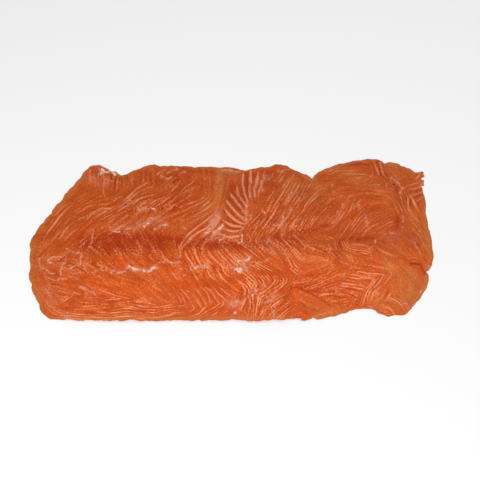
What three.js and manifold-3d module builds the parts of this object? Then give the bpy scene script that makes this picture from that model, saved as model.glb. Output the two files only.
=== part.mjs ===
// A side of smoked salmon, cut in large thin slices and laid back in the shape of the whole fillet.
//
// Frame: millimetres, +Z up. X runs along the fillet, with the narrow end at -X and the wide end at +X.
// Y runs across it, with the thick back at -Y and the thinner belly at +Y. The fillet lies on z = 0,
// and the origin is the middle of its bounding box, at the bottom.
//
// The slices lie one over the other like tiles on a core, which is the rest of the fillet. Every top and
// underside is a height on one shared grid of points, so two layers keep the same gap all over.

import * as THREE from 'three';
import { mergeVertices } from 'three/addons/utils/BufferGeometryUtils.js';
import Module from 'manifold-3d';

const wasm = await Module();
wasm.setup();

// Driving dimensions, in millimetres
const SLICE = 2.3; // thickness of a slice well inside its edge
const SLICE_EDGE = 0.8; // thickness at the knife's exit, where a slice runs out
const SLICE_TAPER = 16; // width of the band in which a slice thins to its edge
const GAP = 0.3; // clear height between two layers
const DRAPE = 22; // run in which a slice comes down from the edge of what lies under it

const CORE = 9; // height of the core inside its shoulder
const CORE_RIM = 0.7; // height of the core's edge at the belly and the ends
const CORE_RIM_BACK = 3.4; // height of the core's edge along the back, which is cut off square
const CORE_SHOULDER = 34; // run from the core's edge to its full height
const BACK_LINE = -94; // y of the edge along the back
const BACK_BAND = 26; // width of the band in which the rim grows towards the back

const LATERAL_LINE = 2; // y of the groove along the middle of the fillet
const GROOVE = 1.9; // its depth
const GROOVE_WIDTH = 8;
const LOIN = 1.7; // how far the loin stands above the rest
const LOIN_OFFSET = -30; // from the lateral line to the crest of the loin
const LOIN_WIDTH = 24;
const TAIL_THINNING = 0.16; // share of the height that is lost towards the narrow end
const SWELL = 0.45; // height of the slow swells of the surface
const SWELL_LENGTH = 78;

const CELL_X = 11; // spacing of the shared grid
const CELL_Y = 9;
const GRID_LOW = [-264, -110];
const GRID_HIGH = [243, 118];
const OUTLINE_STEP = 8; // distance between the points of a cut edge
const WOBBLE = 0.9; // how far a cut edge wanders from its smooth line
const WOBBLE_LENGTH = 23;
const PRISM_LOW = -12;
const PRISM_HIGH = 60;

const FLESH = { color: 0xc95f36, roughness: 0.38, metalness: 0 };
const FLESH_PALE = { color: 0xcc7347, roughness: 0.4, metalness: 0 };
const FLESH_DEEP = { color: 0xb34f2c, roughness: 0.45, metalness: 0 };

// The slices, from the lowest to the topmost. Each outline is the line that its cut edge follows,
// as points of a smooth closed curve. What lies under the next slice is part of the outline too.
const SLICES = [
  {
    name: 'slice_wide_end_belly',
    look: FLESH,
    outline: [
      [176, 98], [191, 95], [205, 89], [215, 85], [226, 88], [224, 79], [225, 70], [222, 62],
      [223, 52], [223, 37], [225, 18], [228, 0], [228, -14], [226, -29], [219, -39], [205, -50],
      [180, -48], [160, -28], [149, 6], [148, 50], [158, 84],
    ],
  },
  {
    name: 'slice_wide_end_back',
    look: FLESH_PALE,
    outline: [
      [126, 0], [152, 1], [172, -8], [187, -20], [199, -28], [211, -31], [219, -38], [220, -48],
      [217, -58], [210, -69], [202, -79], [193, -89], [183, -92], [171, -90], [159, -86], [146, -78],
      [126, -64], [117, -34],
    ],
  },
  {
    name: 'slice_broad',
    look: FLESH,
    outline: [
      [86, 73], [102, 86], [120, 94], [143, 99], [157, 101], [170, 103], [176, 98], [184, 87],
      [191, 73], [192, 57], [190, 43], [192, 27], [191, 15], [184, 6], [171, 1], [165, -8],
      [172, -21], [179, -34], [180, -49], [177, -65], [170, -76], [159, -81], [139, -82], [121, -84],
      [96, -80], [70, -60], [53, -25], [48, 12], [54, 50], [68, 66],
    ],
  },
  {
    name: 'slice_back_flap',
    look: FLESH_PALE,
    outline: [
      [57, -61], [66, -60], [77, -63], [88, -68], [101, -74], [114, -80], [120, -85], [111, -88],
      [92, -91], [73, -95], [58, -96], [40, -94], [31, -84], [38, -68],
    ],
  },
  {
    name: 'slice_striped',
    look: FLESH,
    outline: [
      [-30, 86], [4, 86], [27, 90], [42, 93], [55, 94], [64, 90], [79, 81], [86, 74],
      [88, 62], [93, 52], [104, 46], [113, 36], [115, 24], [106, 12], [93, 3], [81, -9],
      [74, -25], [67, -43], [58, -61], [57, -79], [55, -96], [34, -98], [-2, -97], [-60, -97],
      [-122, -94], [-112, -60], [-94, -16], [-64, 18], [-44, 58],
    ],
  },
  {
    name: 'slice_long',
    look: FLESH,
    outline: [
      [-183, 93], [-168, 90], [-156, 86], [-145, 82], [-134, 83], [-123, 88], [-108, 92], [-84, 92],
      [-48, 91], [-14, 89], [3, 86], [-8, 71], [-16, 54], [-19, 34], [-30, 14], [-48, -1],
      [-66, -13], [-73, -27], [-75, -43], [-82, -61], [-93, -77], [-105, -97], [-128, -98], [-150, -98],
      [-180, -97], [-200, -96], [-218, -91], [-228, -83], [-234, -71], [-240, -58], [-246, -42], [-248, -20],
      [-247, -2], [-240, 14], [-226, 32], [-210, 54], [-196, 74],
    ],
  },
  {
    name: 'slice_corner_flap',
    look: FLESH_DEEP,
    outline: [
      [-185, 91], [-175, 94], [-166, 93], [-157, 88], [-146, 82], [-139, 78], [-137, 70], [-145, 62],
      [-154, 57], [-163, 52], [-170, 59], [-180, 66], [-190, 74], [-192, 82],
    ],
  },
];

// The core keeps in from the edges of the slices, apart from the back, where it is almost flush.
const CORE_OUTLINE = [
  [-176, 81], [-145, 72], [-105, 82], [-45, 81], [5, 76], [40, 83], [62, 81], [82, 66],
  [112, 82], [166, 92], [205, 76], [211, 40], [216, -8], [212, -38], [196, -68], [180, -82],
  [150, -72], [118, -76], [88, -84], [52, -93], [-20, -93], [-100, -93], [-165, -93], [-206, -89],
  [-224, -74], [-237, -42], [-239, -10], [-222, 22], [-198, 56],
];

// How many points the shared grid has, and where each one is
const COLUMNS = Math.round((GRID_HIGH[0] - GRID_LOW[0]) / CELL_X) + 1;
const ROWS = Math.round((GRID_HIGH[1] - GRID_LOW[1]) / CELL_Y) + 1;
const gridX = (i) => GRID_LOW[0] + i * CELL_X;
const gridY = (j) => GRID_LOW[1] + j * CELL_Y;
const CELL_DIAGONAL = Math.hypot(CELL_X, CELL_Y);

// A value for each point of the grid
function onGrid(valueAt) {
  const values = new Float64Array(COLUMNS * ROWS);
  for (let j = 0; j < ROWS; j++) {
    for (let i = 0; i < COLUMNS; i++) {
      values[j * COLUMNS + i] = valueAt(gridX(i), gridY(j), j * COLUMNS + i);
    }
  }
  return values;
}

function smoothStep(t) {
  const s = Math.min(1, Math.max(0, t));
  return s * s * (3 - 2 * s);
}

const bell = (distance, width) => Math.exp(-((distance / width) ** 2));

// The closed line of a cut edge: a smooth curve through its points, with a slow uneven wobble
function edgeLine(outline, seed) {
  const points = outline.map(([x, y]) => new THREE.Vector3(x, y, 0));
  const curve = new THREE.CatmullRomCurve3(points, true, 'centripetal');
  curve.arcLengthDivisions = 40 * points.length;
  const length = curve.getLength();
  const count = Math.round(length / OUTLINE_STEP);
  const waves = Math.max(2, Math.round(length / WOBBLE_LENGTH));
  const line = [];
  for (let k = 0; k < count; k++) {
    const turn = k / count;
    const at = curve.getPointAt(turn);
    const along = curve.getTangentAt(turn);
    const angle = 2 * Math.PI * turn;
    const wobble = WOBBLE * 0.5 * (Math.sin(waves * angle + seed) + Math.sin((waves + 5) * angle + 2.3 * seed));
    line.push(new THREE.Vector2(at.x - along.y * wobble, at.y + along.x * wobble));
  }
  return line;
}

// How far a point lies inside a closed line. It is negative outside.
function depthInside(line, x, y) {
  let nearest = Infinity;
  let inside = false;
  for (let k = 0; k < line.length; k++) {
    const a = line[k];
    const b = line[(k + 1) % line.length];
    const dx = b.x - a.x;
    const dy = b.y - a.y;
    const along = Math.min(1, Math.max(0, ((x - a.x) * dx + (y - a.y) * dy) / (dx * dx + dy * dy)));
    nearest = Math.min(nearest, Math.hypot(x - a.x - along * dx, y - a.y - along * dy));
    if (a.y > y !== b.y > y && x < a.x + (dx * (y - a.y)) / dy) {
      inside = !inside;
    }
  }
  return inside ? nearest : -nearest;
}

// 1 over a layer and for one cell round it, then falling to 0 where the layer above has come down
const supportFrom = (depth) => smoothStep(1 + (depth + CELL_DIAGONAL) / DRAPE);

function toManifold(geometry) {
  const plain = new THREE.BufferGeometry();
  plain.setAttribute('position', geometry.getAttribute('position'));
  plain.setIndex(geometry.getIndex());
  const merged = mergeVertices(plain, 1e-4);
  const mesh = new wasm.Mesh({
    numProp: 3,
    vertProperties: new Float32Array(merged.getAttribute('position').array),
    triVerts: new Uint32Array(merged.getIndex().array),
  });
  return new wasm.Manifold(mesh);
}

function toGeometry(manifold) {
  const mesh = manifold.getMesh();
  const geometry = new THREE.BufferGeometry();
  geometry.setAttribute('position', new THREE.BufferAttribute(new Float32Array(mesh.vertProperties), 3));
  geometry.setIndex(new THREE.BufferAttribute(new Uint32Array(mesh.triVerts), 1));
  geometry.computeVertexNormals();
  return geometry;
}

// A closed slab over the whole grid between two sheets of heights
function slab(top, underside) {
  const positions = [];
  const faces = [];
  const count = COLUMNS * ROWS;
  for (const heights of [top, underside]) {
    for (let k = 0; k < count; k++) {
      positions.push(gridX(k % COLUMNS), gridY(Math.floor(k / COLUMNS)), heights[k]);
    }
  }
  const quad = (a, b, c, d) => faces.push(a, b, c, a, c, d);
  for (let j = 0; j + 1 < ROWS; j++) {
    for (let i = 0; i + 1 < COLUMNS; i++) {
      const a = j * COLUMNS + i;
      const corners = [a, a + 1, a + 1 + COLUMNS, a + COLUMNS];
      if ((i + j) % 2) {
        corners.push(corners.shift()); // the diagonals turn from cell to cell
      }
      const [p, q, r, s] = corners;
      quad(p, q, r, s);
      quad(r + count, q + count, p + count, s + count);
    }
  }
  const rim = [];
  for (let i = 0; i + 1 < COLUMNS; i++) {
    rim.push([i, i + 1]);
    rim.push([count - 1 - i, count - 2 - i]);
  }
  for (let j = 1; j < ROWS; j++) {
    rim.push([j * COLUMNS - 1, (j + 1) * COLUMNS - 1]);
    rim.push([j * COLUMNS, (j - 1) * COLUMNS]);
  }
  for (const [a, b] of rim) {
    quad(a, a + count, b + count, b);
  }
  const geometry = new THREE.BufferGeometry();
  geometry.setAttribute('position', new THREE.BufferAttribute(new Float32Array(positions), 3));
  geometry.setIndex(faces);
  return toManifold(geometry);
}

// The upright prism that cuts a layer to its outline
function prism(line, low) {
  const geometry = new THREE.ExtrudeGeometry(new THREE.Shape(line), {
    depth: PRISM_HIGH - low,
    bevelEnabled: false,
  });
  geometry.translate(0, 0, low);
  geometry.deleteAttribute('normal');
  geometry.deleteAttribute('uv');
  return toManifold(mergeVertices(geometry, 1e-4));
}

function flesh(name, manifold, look) {
  const mesh = new THREE.Mesh(toGeometry(manifold), new THREE.MeshStandardMaterial(look));
  mesh.name = name;
  return mesh;
}

// The fillet's own relief, as a share of the core's full height
function reliefAt(x, y) {
  const line = LATERAL_LINE + 4 * Math.sin(x / 90);
  const groove = (-GROOVE / CORE) * bell(y - line, GROOVE_WIDTH);
  const loin = (LOIN / CORE) * bell(y - line - LOIN_OFFSET, LOIN_WIDTH);
  const swell = (SWELL / CORE) * Math.sin((2 * Math.PI * (x + 0.6 * y)) / SWELL_LENGTH) * Math.cos(y / 31);
  const tail = TAIL_THINNING * smoothStep((40 - x) / 260);
  return (1 + groove + loin + swell) * (1 - tail);
}

function coreHeight(depth, x, y) {
  const rim = CORE_RIM + (CORE_RIM_BACK - CORE_RIM) * smoothStep(1 - (y - BACK_LINE) / BACK_BAND);
  return rim + (CORE * reliefAt(x, y) - rim) * smoothStep(depth / CORE_SHOULDER);
}

const fillet = new THREE.Group();

const coreLine = edgeLine(CORE_OUTLINE, 0.7);
const coreDepth = onGrid((x, y) => depthInside(coreLine, x, y));
const coreTop = onGrid((x, y, k) => coreHeight(coreDepth[k], x, y));
const belowFloor = onGrid(() => PRISM_LOW / 2);
fillet.add(flesh('fillet_core', slab(coreTop, belowFloor).intersect(prism(coreLine, 0)), FLESH_DEEP));

// What the next slice lies on
let support = onGrid((x, y, k) => coreTop[k] * supportFrom(coreDepth[k]));

SLICES.forEach((slice, order) => {
  const line = edgeLine(slice.outline, order + 1.3);
  const depth = onGrid((x, y) => depthInside(line, x, y));
  const thickness = depth.map((d) => SLICE_EDGE + (SLICE - SLICE_EDGE) * smoothStep(d / SLICE_TAPER));
  const underside = support.map((height) => height + GAP);
  const top = underside.map((height, k) => height + thickness[k]);
  fillet.add(flesh(slice.name, slab(top, underside).intersect(prism(line, PRISM_LOW)), slice.look));
  support = support.map((height, k) => height + (GAP + thickness[k]) * supportFrom(depth[k]));
});

// The origin goes to the middle of the box, at the bottom
const box = new THREE.Box3().setFromObject(fillet);
const middle = box.getCenter(new THREE.Vector3());
fillet.position.set(-middle.x, -middle.y, -box.min.z);
fillet.updateMatrixWorld(true);

export default fillet;
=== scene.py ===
"""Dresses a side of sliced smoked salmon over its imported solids.

Each slice is meshed anew inside the solid that it replaces, with a thin uneven rim and fine relief. Its
marbling is grown from sheaves of guide lines, which follow the fat lines that the photograph shows. The plane
of the marbling is the photograph's own: one unit is one of its pixels, about 1.2 mm on the fillet.
"""

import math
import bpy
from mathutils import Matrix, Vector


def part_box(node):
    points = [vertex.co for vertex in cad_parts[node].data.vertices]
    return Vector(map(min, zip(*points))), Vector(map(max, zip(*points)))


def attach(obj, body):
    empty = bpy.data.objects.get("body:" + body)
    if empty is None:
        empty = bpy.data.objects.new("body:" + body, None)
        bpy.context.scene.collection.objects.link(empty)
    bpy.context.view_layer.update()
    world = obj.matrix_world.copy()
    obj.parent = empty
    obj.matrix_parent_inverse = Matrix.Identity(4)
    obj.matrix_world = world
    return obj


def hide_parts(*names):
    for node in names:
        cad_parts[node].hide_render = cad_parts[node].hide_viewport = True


bl_info = {
    "name": "Sliced Salmon Fillet",
    "version": (1, 0, 0),
    "blender": (4, 5, 0),
    "location": "3D View > Sidebar > Salmon",
    "description": "Dresses the slices of a smoked salmon fillet and sets them in a plain studio",
    "category": "Object",
}

from collections import namedtuple

import bpy
import numpy as np
from bpy.props import FloatProperty, FloatVectorProperty, PointerProperty
from mathutils import Vector
from mathutils.bvhtree import BVHTree
from mathutils.geometry import delaunay_2d_cdt
from mathutils.kdtree import KDTree

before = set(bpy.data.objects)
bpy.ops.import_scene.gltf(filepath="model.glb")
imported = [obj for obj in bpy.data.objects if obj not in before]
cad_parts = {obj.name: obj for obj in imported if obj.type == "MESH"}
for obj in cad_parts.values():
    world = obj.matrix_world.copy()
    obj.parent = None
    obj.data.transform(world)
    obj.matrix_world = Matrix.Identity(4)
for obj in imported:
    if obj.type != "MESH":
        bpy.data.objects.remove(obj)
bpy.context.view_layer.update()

MM = 0.001

# The space that the solids keep between one slice and the next
GAP = 0.3 * MM

# One pixel of the photograph on the fillet
PIXEL = 1.19 * MM

# The photograph's camera, which also places the marbling
IMAGE_SIDE = 480
FOCAL_PIXELS = 762
CAMERA_ELEVATION = math.radians(74)
CAMERA_DISTANCE = 0.906
AIM = (0.01002, -0.00188, 0.0)
SENSOR_WIDTH = 36

# The studio, in metres
FLOOR_HALF_SIDE = 6.0
FLOOR_DROP = 0.2 * MM
KEY_PLACE = (-0.35, -1.1, 1.5)
KEY_SIZE = (1.3, 0.9)
FILL_PLACE = (0.9, 0.5, 1.6)
FILL_SIZE = (1.2, 1.2)

# The slices, from the lowest to the topmost
SLICE_NAMES = (
    "slice_wide_end_belly",
    "slice_wide_end_back",
    "slice_broad",
    "slice_back_flap",
    "slice_striped",
    "slice_long",
    "slice_corner_flap",
)
BELLY_END, BACK_END, BROAD, BACK_FLAP, STRIPED, LONG, CORNER = SLICE_NAMES

# The mesh step of each slice as a share of the largest, and the free space inside its rim as a share of that
STEP_SHARES = {LONG: 1.0, STRIPED: 0.94}
FINEST_SHARE = 0.84
RIM_CLEARANCE = 0.6

# The core: the steps of its outline, its top and its base, how much its edge strays beside that of a slice,
# the least height of its rim, and the rings and the bulge of its wall
CORE = "fillet_core"
CORE_STEP = 1.6 * MM
CORE_TOP_STEP = 3 * MM
CORE_BASE_STEP = 5 * MM
CORE_WANDER = 0.6
CORE_RIM = 0.5 * MM
CORE_RINGS = 5
CORE_BULGE = 0.5 * MM

# A face of a solid belongs to a wall if its normal rises less than this
WALL_SLOPE = 0.25

# Cut edges: how far their corners are rounded, the reach and the share of each kind of straying, and the
# height at which their strokes are read
CORNER_REACH = 2.2 * MM
EDGE_WAVES = ((9 * MM, 1.0), (3.2 * MM, 0.7), (1.3 * MM, 0.45))
EDGE_LEVEL = 2 * MM

# Step between the points of a line from which distances are measured
LINE_STEP = 0.4 * MM

# Rims: the thickness that they thin out towards, the least thickness behind them, and the bands in from the
# cut edge in which a slice thins out, gets its relief, sinks through the gap, hangs over the core's edge,
# turns tan and lifts
RIM_THICKNESS = 0.28 * MM
LEAST_THICKNESS = 0.35 * MM
THINNING_BAND = 8 * MM
RELIEF_BAND = 5 * MM
SINK_BAND = (0.5 * MM, 4 * MM)
HANGING_BAND = 14 * MM
TAN_BAND = (0.3 * MM, 3.5 * MM)
LIFT_BAND = 7 * MM

# How softly a rim bends down, the space that it keeps over the floor, and the heights at which it is over it
BEND_REACH = 4 * MM
FLOOR_CLEARANCE = 0.12 * MM
OVER_FLOOR = (1.5 * MM, 4 * MM)

# How far the connective tissue stands out, and how far a rim lifts off the floor
TISSUE_HEIGHT = 0.2 * MM
LIFT_HEIGHT = 0.3 * MM

# Drawn lines: the parts between two of their given points, and the step along a stroke
SPAN_PARTS = 12
STROKE_STEP = 0.7

# A stroke ends this many half widths from its line, and this much further out
STROKE_REACH = 2.2
STROKE_MARGIN = 0.5

# How a patch falls off beside a line, whose value is 1
SOFT_PATCH = 0.8

# A guide's share of its sheaf's strength, its half width, and how much wider than a bright line the darker
# flesh beside it is
GUIDE_SHARE = 0.6
GUIDE_WIDTH = 0.6
BESIDE_BRIGHT = 2.3

# A sheaf of fat lines: the slices that show it, how much it stands out, the number of spaces between one
# guide and the next, and the guides, which are lines of the marbling in order across it. A line is written as
# the x and y of each of its points, one after the other.
Sheaf = namedtuple("Sheaf", "slices strength gaps guides")

MARBLING = (
    # Long arcs along the slanting edge of the narrow end
    Sheaf((LONG,), 0.42, (2, 3, 2, 2), (
        (38, 231, 50, 218, 62, 204, 75, 191, 87, 181),
        (46, 234, 56, 222, 66, 211, 77, 202, 88, 196, 97, 191),
        (54, 238, 63, 226, 72, 216, 84, 208, 98, 202, 108, 199),
        (64, 242, 74, 230, 86, 219, 98, 212, 111, 209),
        (74, 243, 86, 231, 98, 221, 110, 213, 122, 203),
    )),
    # The belly side of the long slice
    Sheaf((LONG,), 0.44, (3, 2, 2, 2, 2, 2), (
        (112, 212, 122, 202, 132, 193, 141, 186, 150, 183),
        (108, 222, 120, 214, 130, 207, 138, 201, 145, 197, 153, 195),
        (136, 216, 143, 210, 149, 206, 156, 200, 164, 197, 172, 192, 180, 185),
        (158, 210, 165, 205, 173, 201, 181, 194, 188, 188, 193, 184),
        (176, 212, 184, 207, 192, 202, 200, 200, 206, 195),
        (184, 216, 193, 212, 202, 206, 210, 200),
        (188, 224, 198, 219, 208, 214, 216, 207),
    )),
    Sheaf((LONG,), 0.38, (1, 1, 1, 1), (
        (132, 173, 132, 182),
        (138, 171, 139, 182),
        (143, 171, 143, 183),
        (148, 170, 148, 182),
        (153, 170, 153, 183),
    )),
    # The thin edge of the long slice, almost plain
    Sheaf((LONG,), 0.12, (2, 2), (
        (204, 172, 206, 184, 207, 196),
        (216, 172, 217, 186, 216, 200, 213, 210),
        (231, 172, 229, 186, 225, 200, 221, 212),
    )),
    # Bright lines that meet the lateral line
    Sheaf((LONG, STRIPED), 0.82, (1, 1, 1), (
        (184, 238, 193, 230, 202, 224, 210, 219),
        (182, 249, 188, 240, 197, 233, 207, 227, 215, 219),
        (191, 246, 199, 238, 207, 232, 214, 225, 220, 216),
        (201, 246, 207, 240, 213, 235, 219, 228, 224, 222),
    )),
    # Below the lateral line, from the narrow end on
    Sheaf((LONG,), 0.16, (2, 2, 2, 2), (
        (116, 250, 121, 259, 127, 266),
        (127, 246, 133, 254, 139, 261, 147, 267),
        (138, 246, 143, 254, 149, 261, 156, 265),
        (152, 246, 156, 254, 163, 260),
        (165, 248, 169, 255, 176, 260),
    )),
    Sheaf((LONG, STRIPED), 0.52, (3, 2, 2, 3), (
        (180, 252, 184, 260, 190, 268),
        (194, 249, 197, 257, 202, 265),
        (202, 249, 205, 257, 214, 266),
        (214, 249, 219, 257, 227, 266),
        (226, 250, 234, 258, 240, 264),
    )),
    Sheaf((LONG, STRIPED), 0.46, (1, 1, 2, 2, 2), (
        (184, 270, 188, 276, 193, 282),
        (192, 268, 195, 275, 199, 281),
        (199, 269, 200, 275, 204, 282),
        (209, 268, 213, 275, 219, 281),
        (217, 266, 219, 273, 224, 280),
        (228, 268, 232, 275, 240, 280),
    )),
    # Long lines that bend back at the loin
    Sheaf((LONG, STRIPED), 0.2, (3,), (
        (162, 288, 167, 295, 171, 301, 165, 304, 154, 305),
        (172, 288, 177, 295, 181, 302, 175, 305, 166, 306),
    )),
    Sheaf((LONG, STRIPED), 0.5, (1, 1, 2, 1, 2, 2), (
        (176, 287, 181, 294, 185.5, 303.5, 179, 306, 170, 307),
        (182, 289, 188, 295.5, 194.5, 309, 188, 312, 176, 312, 164, 316),
        (187, 289, 194, 296, 202.3, 310.5, 196, 314.5, 188, 317),
        (200, 286, 207, 293, 210.5, 303, 204, 308, 197, 312),
        (206, 287, 213, 293.5, 220.3, 303.6, 215, 308, 206, 312),
        (214, 289, 221, 296.5, 228.5, 302.5, 222, 308, 215, 314),
        (223, 286, 231, 291, 237, 296, 231, 303, 225, 310),
    )),
    # The smooth bright part of the loin
    Sheaf((LONG, STRIPED), 0.24, (5, 5, 5, 5), (
        (96, 286, 112, 291, 128, 297),
        (108, 280, 126, 286, 142, 294, 152, 301),
        (124, 275, 142, 282, 157, 291, 166, 300),
        (154, 273, 164, 281, 172, 290, 178, 300),
        (168, 268, 175, 276, 181, 284, 186, 290),
    )),
    # Close wavy lines along the back edge
    Sheaf((LONG, STRIPED), 0.5, (3, 2), (
        (138, 318, 150, 317.5, 162, 316, 172, 315),
        (140, 311.5, 152, 312.5, 164, 311, 174, 309),
        (148, 307, 160, 307, 172, 304.5),
    )),
    Sheaf((LONG, STRIPED), 0.7, (3, 3, 2), (
        (84, 301, 100, 302.5, 116, 303, 128, 299, 136, 296),
        (70, 306, 90, 307, 110, 306.5, 126, 304, 136, 306, 146, 311, 158, 314),
        (60, 311, 80, 312.5, 104, 313, 125, 311, 140, 313.5, 156, 316),
        (62, 315.5, 82, 316.5, 106, 317, 130, 316, 146, 317),
    )),
    # Nested bends at the near corner of the narrow end
    Sheaf((LONG,), 0.34, (3, 3), (
        (52, 288, 60, 292, 71.5, 296, 68, 299, 62, 302),
        (54, 284, 66, 288, 79.5, 294, 75, 299.5, 69, 303),
        (58, 281, 72, 284, 86, 291, 84, 299, 78, 303),
    )),
    Sheaf((LONG,), 0.14, (2,), (
        (36, 284, 43, 295, 50, 306, 60, 313),
        (44, 281, 50, 292, 57, 303, 66, 309),
    )),
    Sheaf((LONG,), 0.22, (2,), (
        (84, 260, 91, 266, 98, 272),
        (94, 254, 101, 261, 108, 268),
    )),
    # The folded corner
    Sheaf((CORNER,), 0.42, (2, 2, 2, 2), (
        (86, 169, 86, 178, 86, 185),
        (95, 167, 95.5, 176, 96, 186),
        (104, 169, 104, 180, 103, 190),
        (113, 172, 113, 182, 111, 192),
        (122, 174, 121, 185, 118, 193),
    )),
    # The bold stripes
    Sheaf((STRIPED,), 0.97, (1, 1, 1, 1, 1, 1, 1, 1, 1, 1), (
        (265, 172, 263, 179, 261, 186, 258, 192),
        (258, 171, 256.2, 178.5, 255, 186, 254.3, 194),
        (250.3, 172, 250.3, 180.7, 249.2, 188, 250.3, 197),
        (243.3, 172, 243.7, 183, 243.5, 189, 247.4, 200),
        (236.5, 184, 238.2, 193, 241.9, 199, 245.8, 207),
        (230, 192, 234.5, 200.5, 239.7, 207.8, 244.4, 214),
        (225.5, 200, 231.6, 208.5, 236.7, 215, 244, 221),
        (224, 210.5, 230.9, 216, 236, 221, 243.3, 224.5),
        (222.5, 219.5, 231.6, 225.4, 241.1, 227),
        (221, 226, 230, 231.6, 241.9, 230.8),
        (219, 233, 229, 238, 240, 236),
    )),
    # From the septum to the wide end
    Sheaf((STRIPED,), 0.42, (3, 3, 3, 4, 4, 4), (
        (246, 232, 252, 223.5, 258, 217, 262, 212, 268, 200, 275, 190),
        (254, 235, 260, 226, 266, 218, 273, 207, 281, 194, 288, 184),
        (266, 233, 274, 225, 282, 215, 287, 203, 295, 191, 300, 182),
        (280, 231, 287, 221, 294, 212, 301, 201, 308, 190, 311, 184),
        (291, 229, 298, 219, 304, 210, 309, 201, 313, 196),
        (303, 226, 310, 215, 317, 207, 324, 203),
        (315, 224, 321, 215, 327, 208, 332, 206),
    )),
    Sheaf((STRIPED,), 0.5, (5, 5, 5, 5, 5), (
        (228, 250, 236, 257, 243, 262),
        (242, 247, 250, 254, 258, 260, 266, 264),
        (254, 245, 263, 253, 271, 259, 277, 265),
        (268, 243, 276, 250, 282, 258, 286, 267),
        (281, 241, 290, 249, 297, 257, 303, 266),
        (294, 240, 303, 248, 310, 256),
    )),
    # Hairpins
    Sheaf((STRIPED,), 0.62, (4, 4, 4, 4, 4, 5, 4), (
        (238, 280, 246, 286, 250, 292, 247, 299),
        (248, 272, 254, 278, 258, 286, 253, 291, 246, 297),
        (260, 271, 266, 276, 269.5, 280.5, 264, 286, 257, 291),
        (268, 271, 276, 274.5, 281.5, 280, 276, 286.5, 266, 293, 260, 297),
        (281, 271, 288, 275, 293.5, 280, 287, 286, 277, 293, 266, 301),
        (290, 271, 297, 275.5, 303.5, 281, 295, 287, 285, 294, 272, 303, 264, 311),
        (298, 290, 290, 297, 281, 303, 272, 310, 266, 317),
        (294, 303, 289, 307, 284, 311, 278, 317),
    )),
    # Close steep lines between the hairpins and the long bends
    Sheaf((STRIPED,), 0.5, (4, 2, 2, 2, 3), (
        (243, 290, 238, 299, 231, 306, 225, 312),
        (246, 292, 246, 300, 242, 308, 238, 317),
        (250, 294, 251, 303, 249, 311, 248, 319),
        (254, 296, 254, 305, 253.5, 312, 253, 319),
        (260, 298, 259, 306, 257, 313, 256, 319),
        (268, 299, 264, 306, 260, 313, 258, 319),
    )),
    Sheaf((STRIPED,), 0.4, (2,), (
        (222, 276, 232, 281, 241, 289),
        (232, 271, 243, 279, 249, 285),
    )),
    Sheaf((BACK_FLAP,), 0.05, (2,), (
        (291, 294, 301, 300, 312, 307, 322, 313),
        (298, 288, 312, 295, 326, 302, 338, 309),
    )),
    # The broad slice: the belly side
    Sheaf((BROAD,), 0.33, (3, 2, 2, 2), (
        (326, 172, 340, 165, 356, 162.5, 370, 163),
        (324, 179, 339, 174, 352, 173, 369, 175),
        (330, 186, 345, 182, 358, 181.5, 371, 177, 382, 177),
        (332, 192, 346, 188.5, 360, 189, 376, 190.5, 388, 191),
        (338, 200, 352, 196, 364, 195.5, 378, 198),
    )),
    Sheaf((BROAD,), 0.65, (1, 1, 1), (
        (370.5, 162, 371.5, 170, 373, 177),
        (375, 162, 377, 169, 379, 176),
        (379, 162, 382, 170, 385, 177),
        (383, 163, 387, 171, 391, 178),
    )),
    Sheaf((BROAD,), 0.55, (1, 1), (
        (381, 180, 382.5, 189),
        (385, 180, 386, 189),
        (389, 181, 389.5, 190),
    )),
    Sheaf((BROAD,), 0.3, (2, 3, 3, 3, 3), (
        (326, 231, 334, 222, 341, 212, 347, 203, 352, 196),
        (332, 234, 340, 224, 348, 213, 354, 204, 359, 196),
        (337, 240, 345, 230, 352, 219, 360, 209, 368, 203),
        (346, 240, 353, 230, 360, 221, 369, 213),
        (357, 236, 364, 229, 373, 221, 381, 217),
        (368, 238, 377, 231, 387, 223.5, 393, 220),
    )),
    Sheaf((BROAD, STRIPED), 0.33, (3,), (
        (312, 231, 320, 236, 332, 240),
        (316, 226, 326, 230, 337, 233),
    )),
    Sheaf((BROAD,), 0.42, (4, 4), (
        (341, 241, 346, 247, 356, 250, 370, 252),
        (338, 247, 345, 254, 355, 258, 370, 259.5),
        (334, 252, 342, 258, 352, 263, 364, 266),
    )),
    # The broad slice: chevrons of the loin
    Sheaf((BROAD,), 0.24, (2,), (
        (350, 262, 362, 264.5, 376, 267, 387, 270),
        (349, 267, 362, 268.5, 376, 270.5, 388, 273),
    )),
    Sheaf((BROAD,), 0.42, (2, 2, 2, 2), (
        (348, 270, 362, 272.5, 384, 274.6, 379, 282, 373.5, 288, 369, 296, 366, 303),
        (346, 276, 358, 277.5, 373.8, 279.4, 369, 286, 364, 292, 362, 299),
        (344, 283, 356, 284.5, 366, 287, 363, 291, 360, 295),
        (338, 289, 352, 290.5, 362, 293, 360, 298, 357, 303),
        (338, 294, 347, 295, 353, 298, 350, 301, 348, 304),
    )),
    Sheaf((BROAD,), 0.48, (1,), (
        (391, 281, 386, 290, 379, 302),
        (395, 286, 391, 293, 385, 303),
    )),
    Sheaf((BROAD,), 0.37, (3, 3, 2, 2, 2), (
        (300, 283, 309, 281, 317, 277, 326, 274, 335, 268),
        (303, 289, 313, 286, 323, 283, 332, 280, 341, 276),
        (308, 293, 320, 290.5, 330, 287, 342, 285),
        (314, 297, 326, 294, 336, 293, 345, 292),
        (320, 301, 333, 298.5, 344, 297),
        (328, 305, 338, 303, 348, 302),
    )),
    # The wide end, belly side
    Sheaf((BELLY_END,), 0.72, (1, 1, 1), (
        (391, 195, 397, 204, 402, 214),
        (398, 193, 402, 204, 406, 214),
        (405, 192, 406.5, 203, 410, 213),
        (411, 198, 416, 206, 420, 213),
    )),
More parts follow.
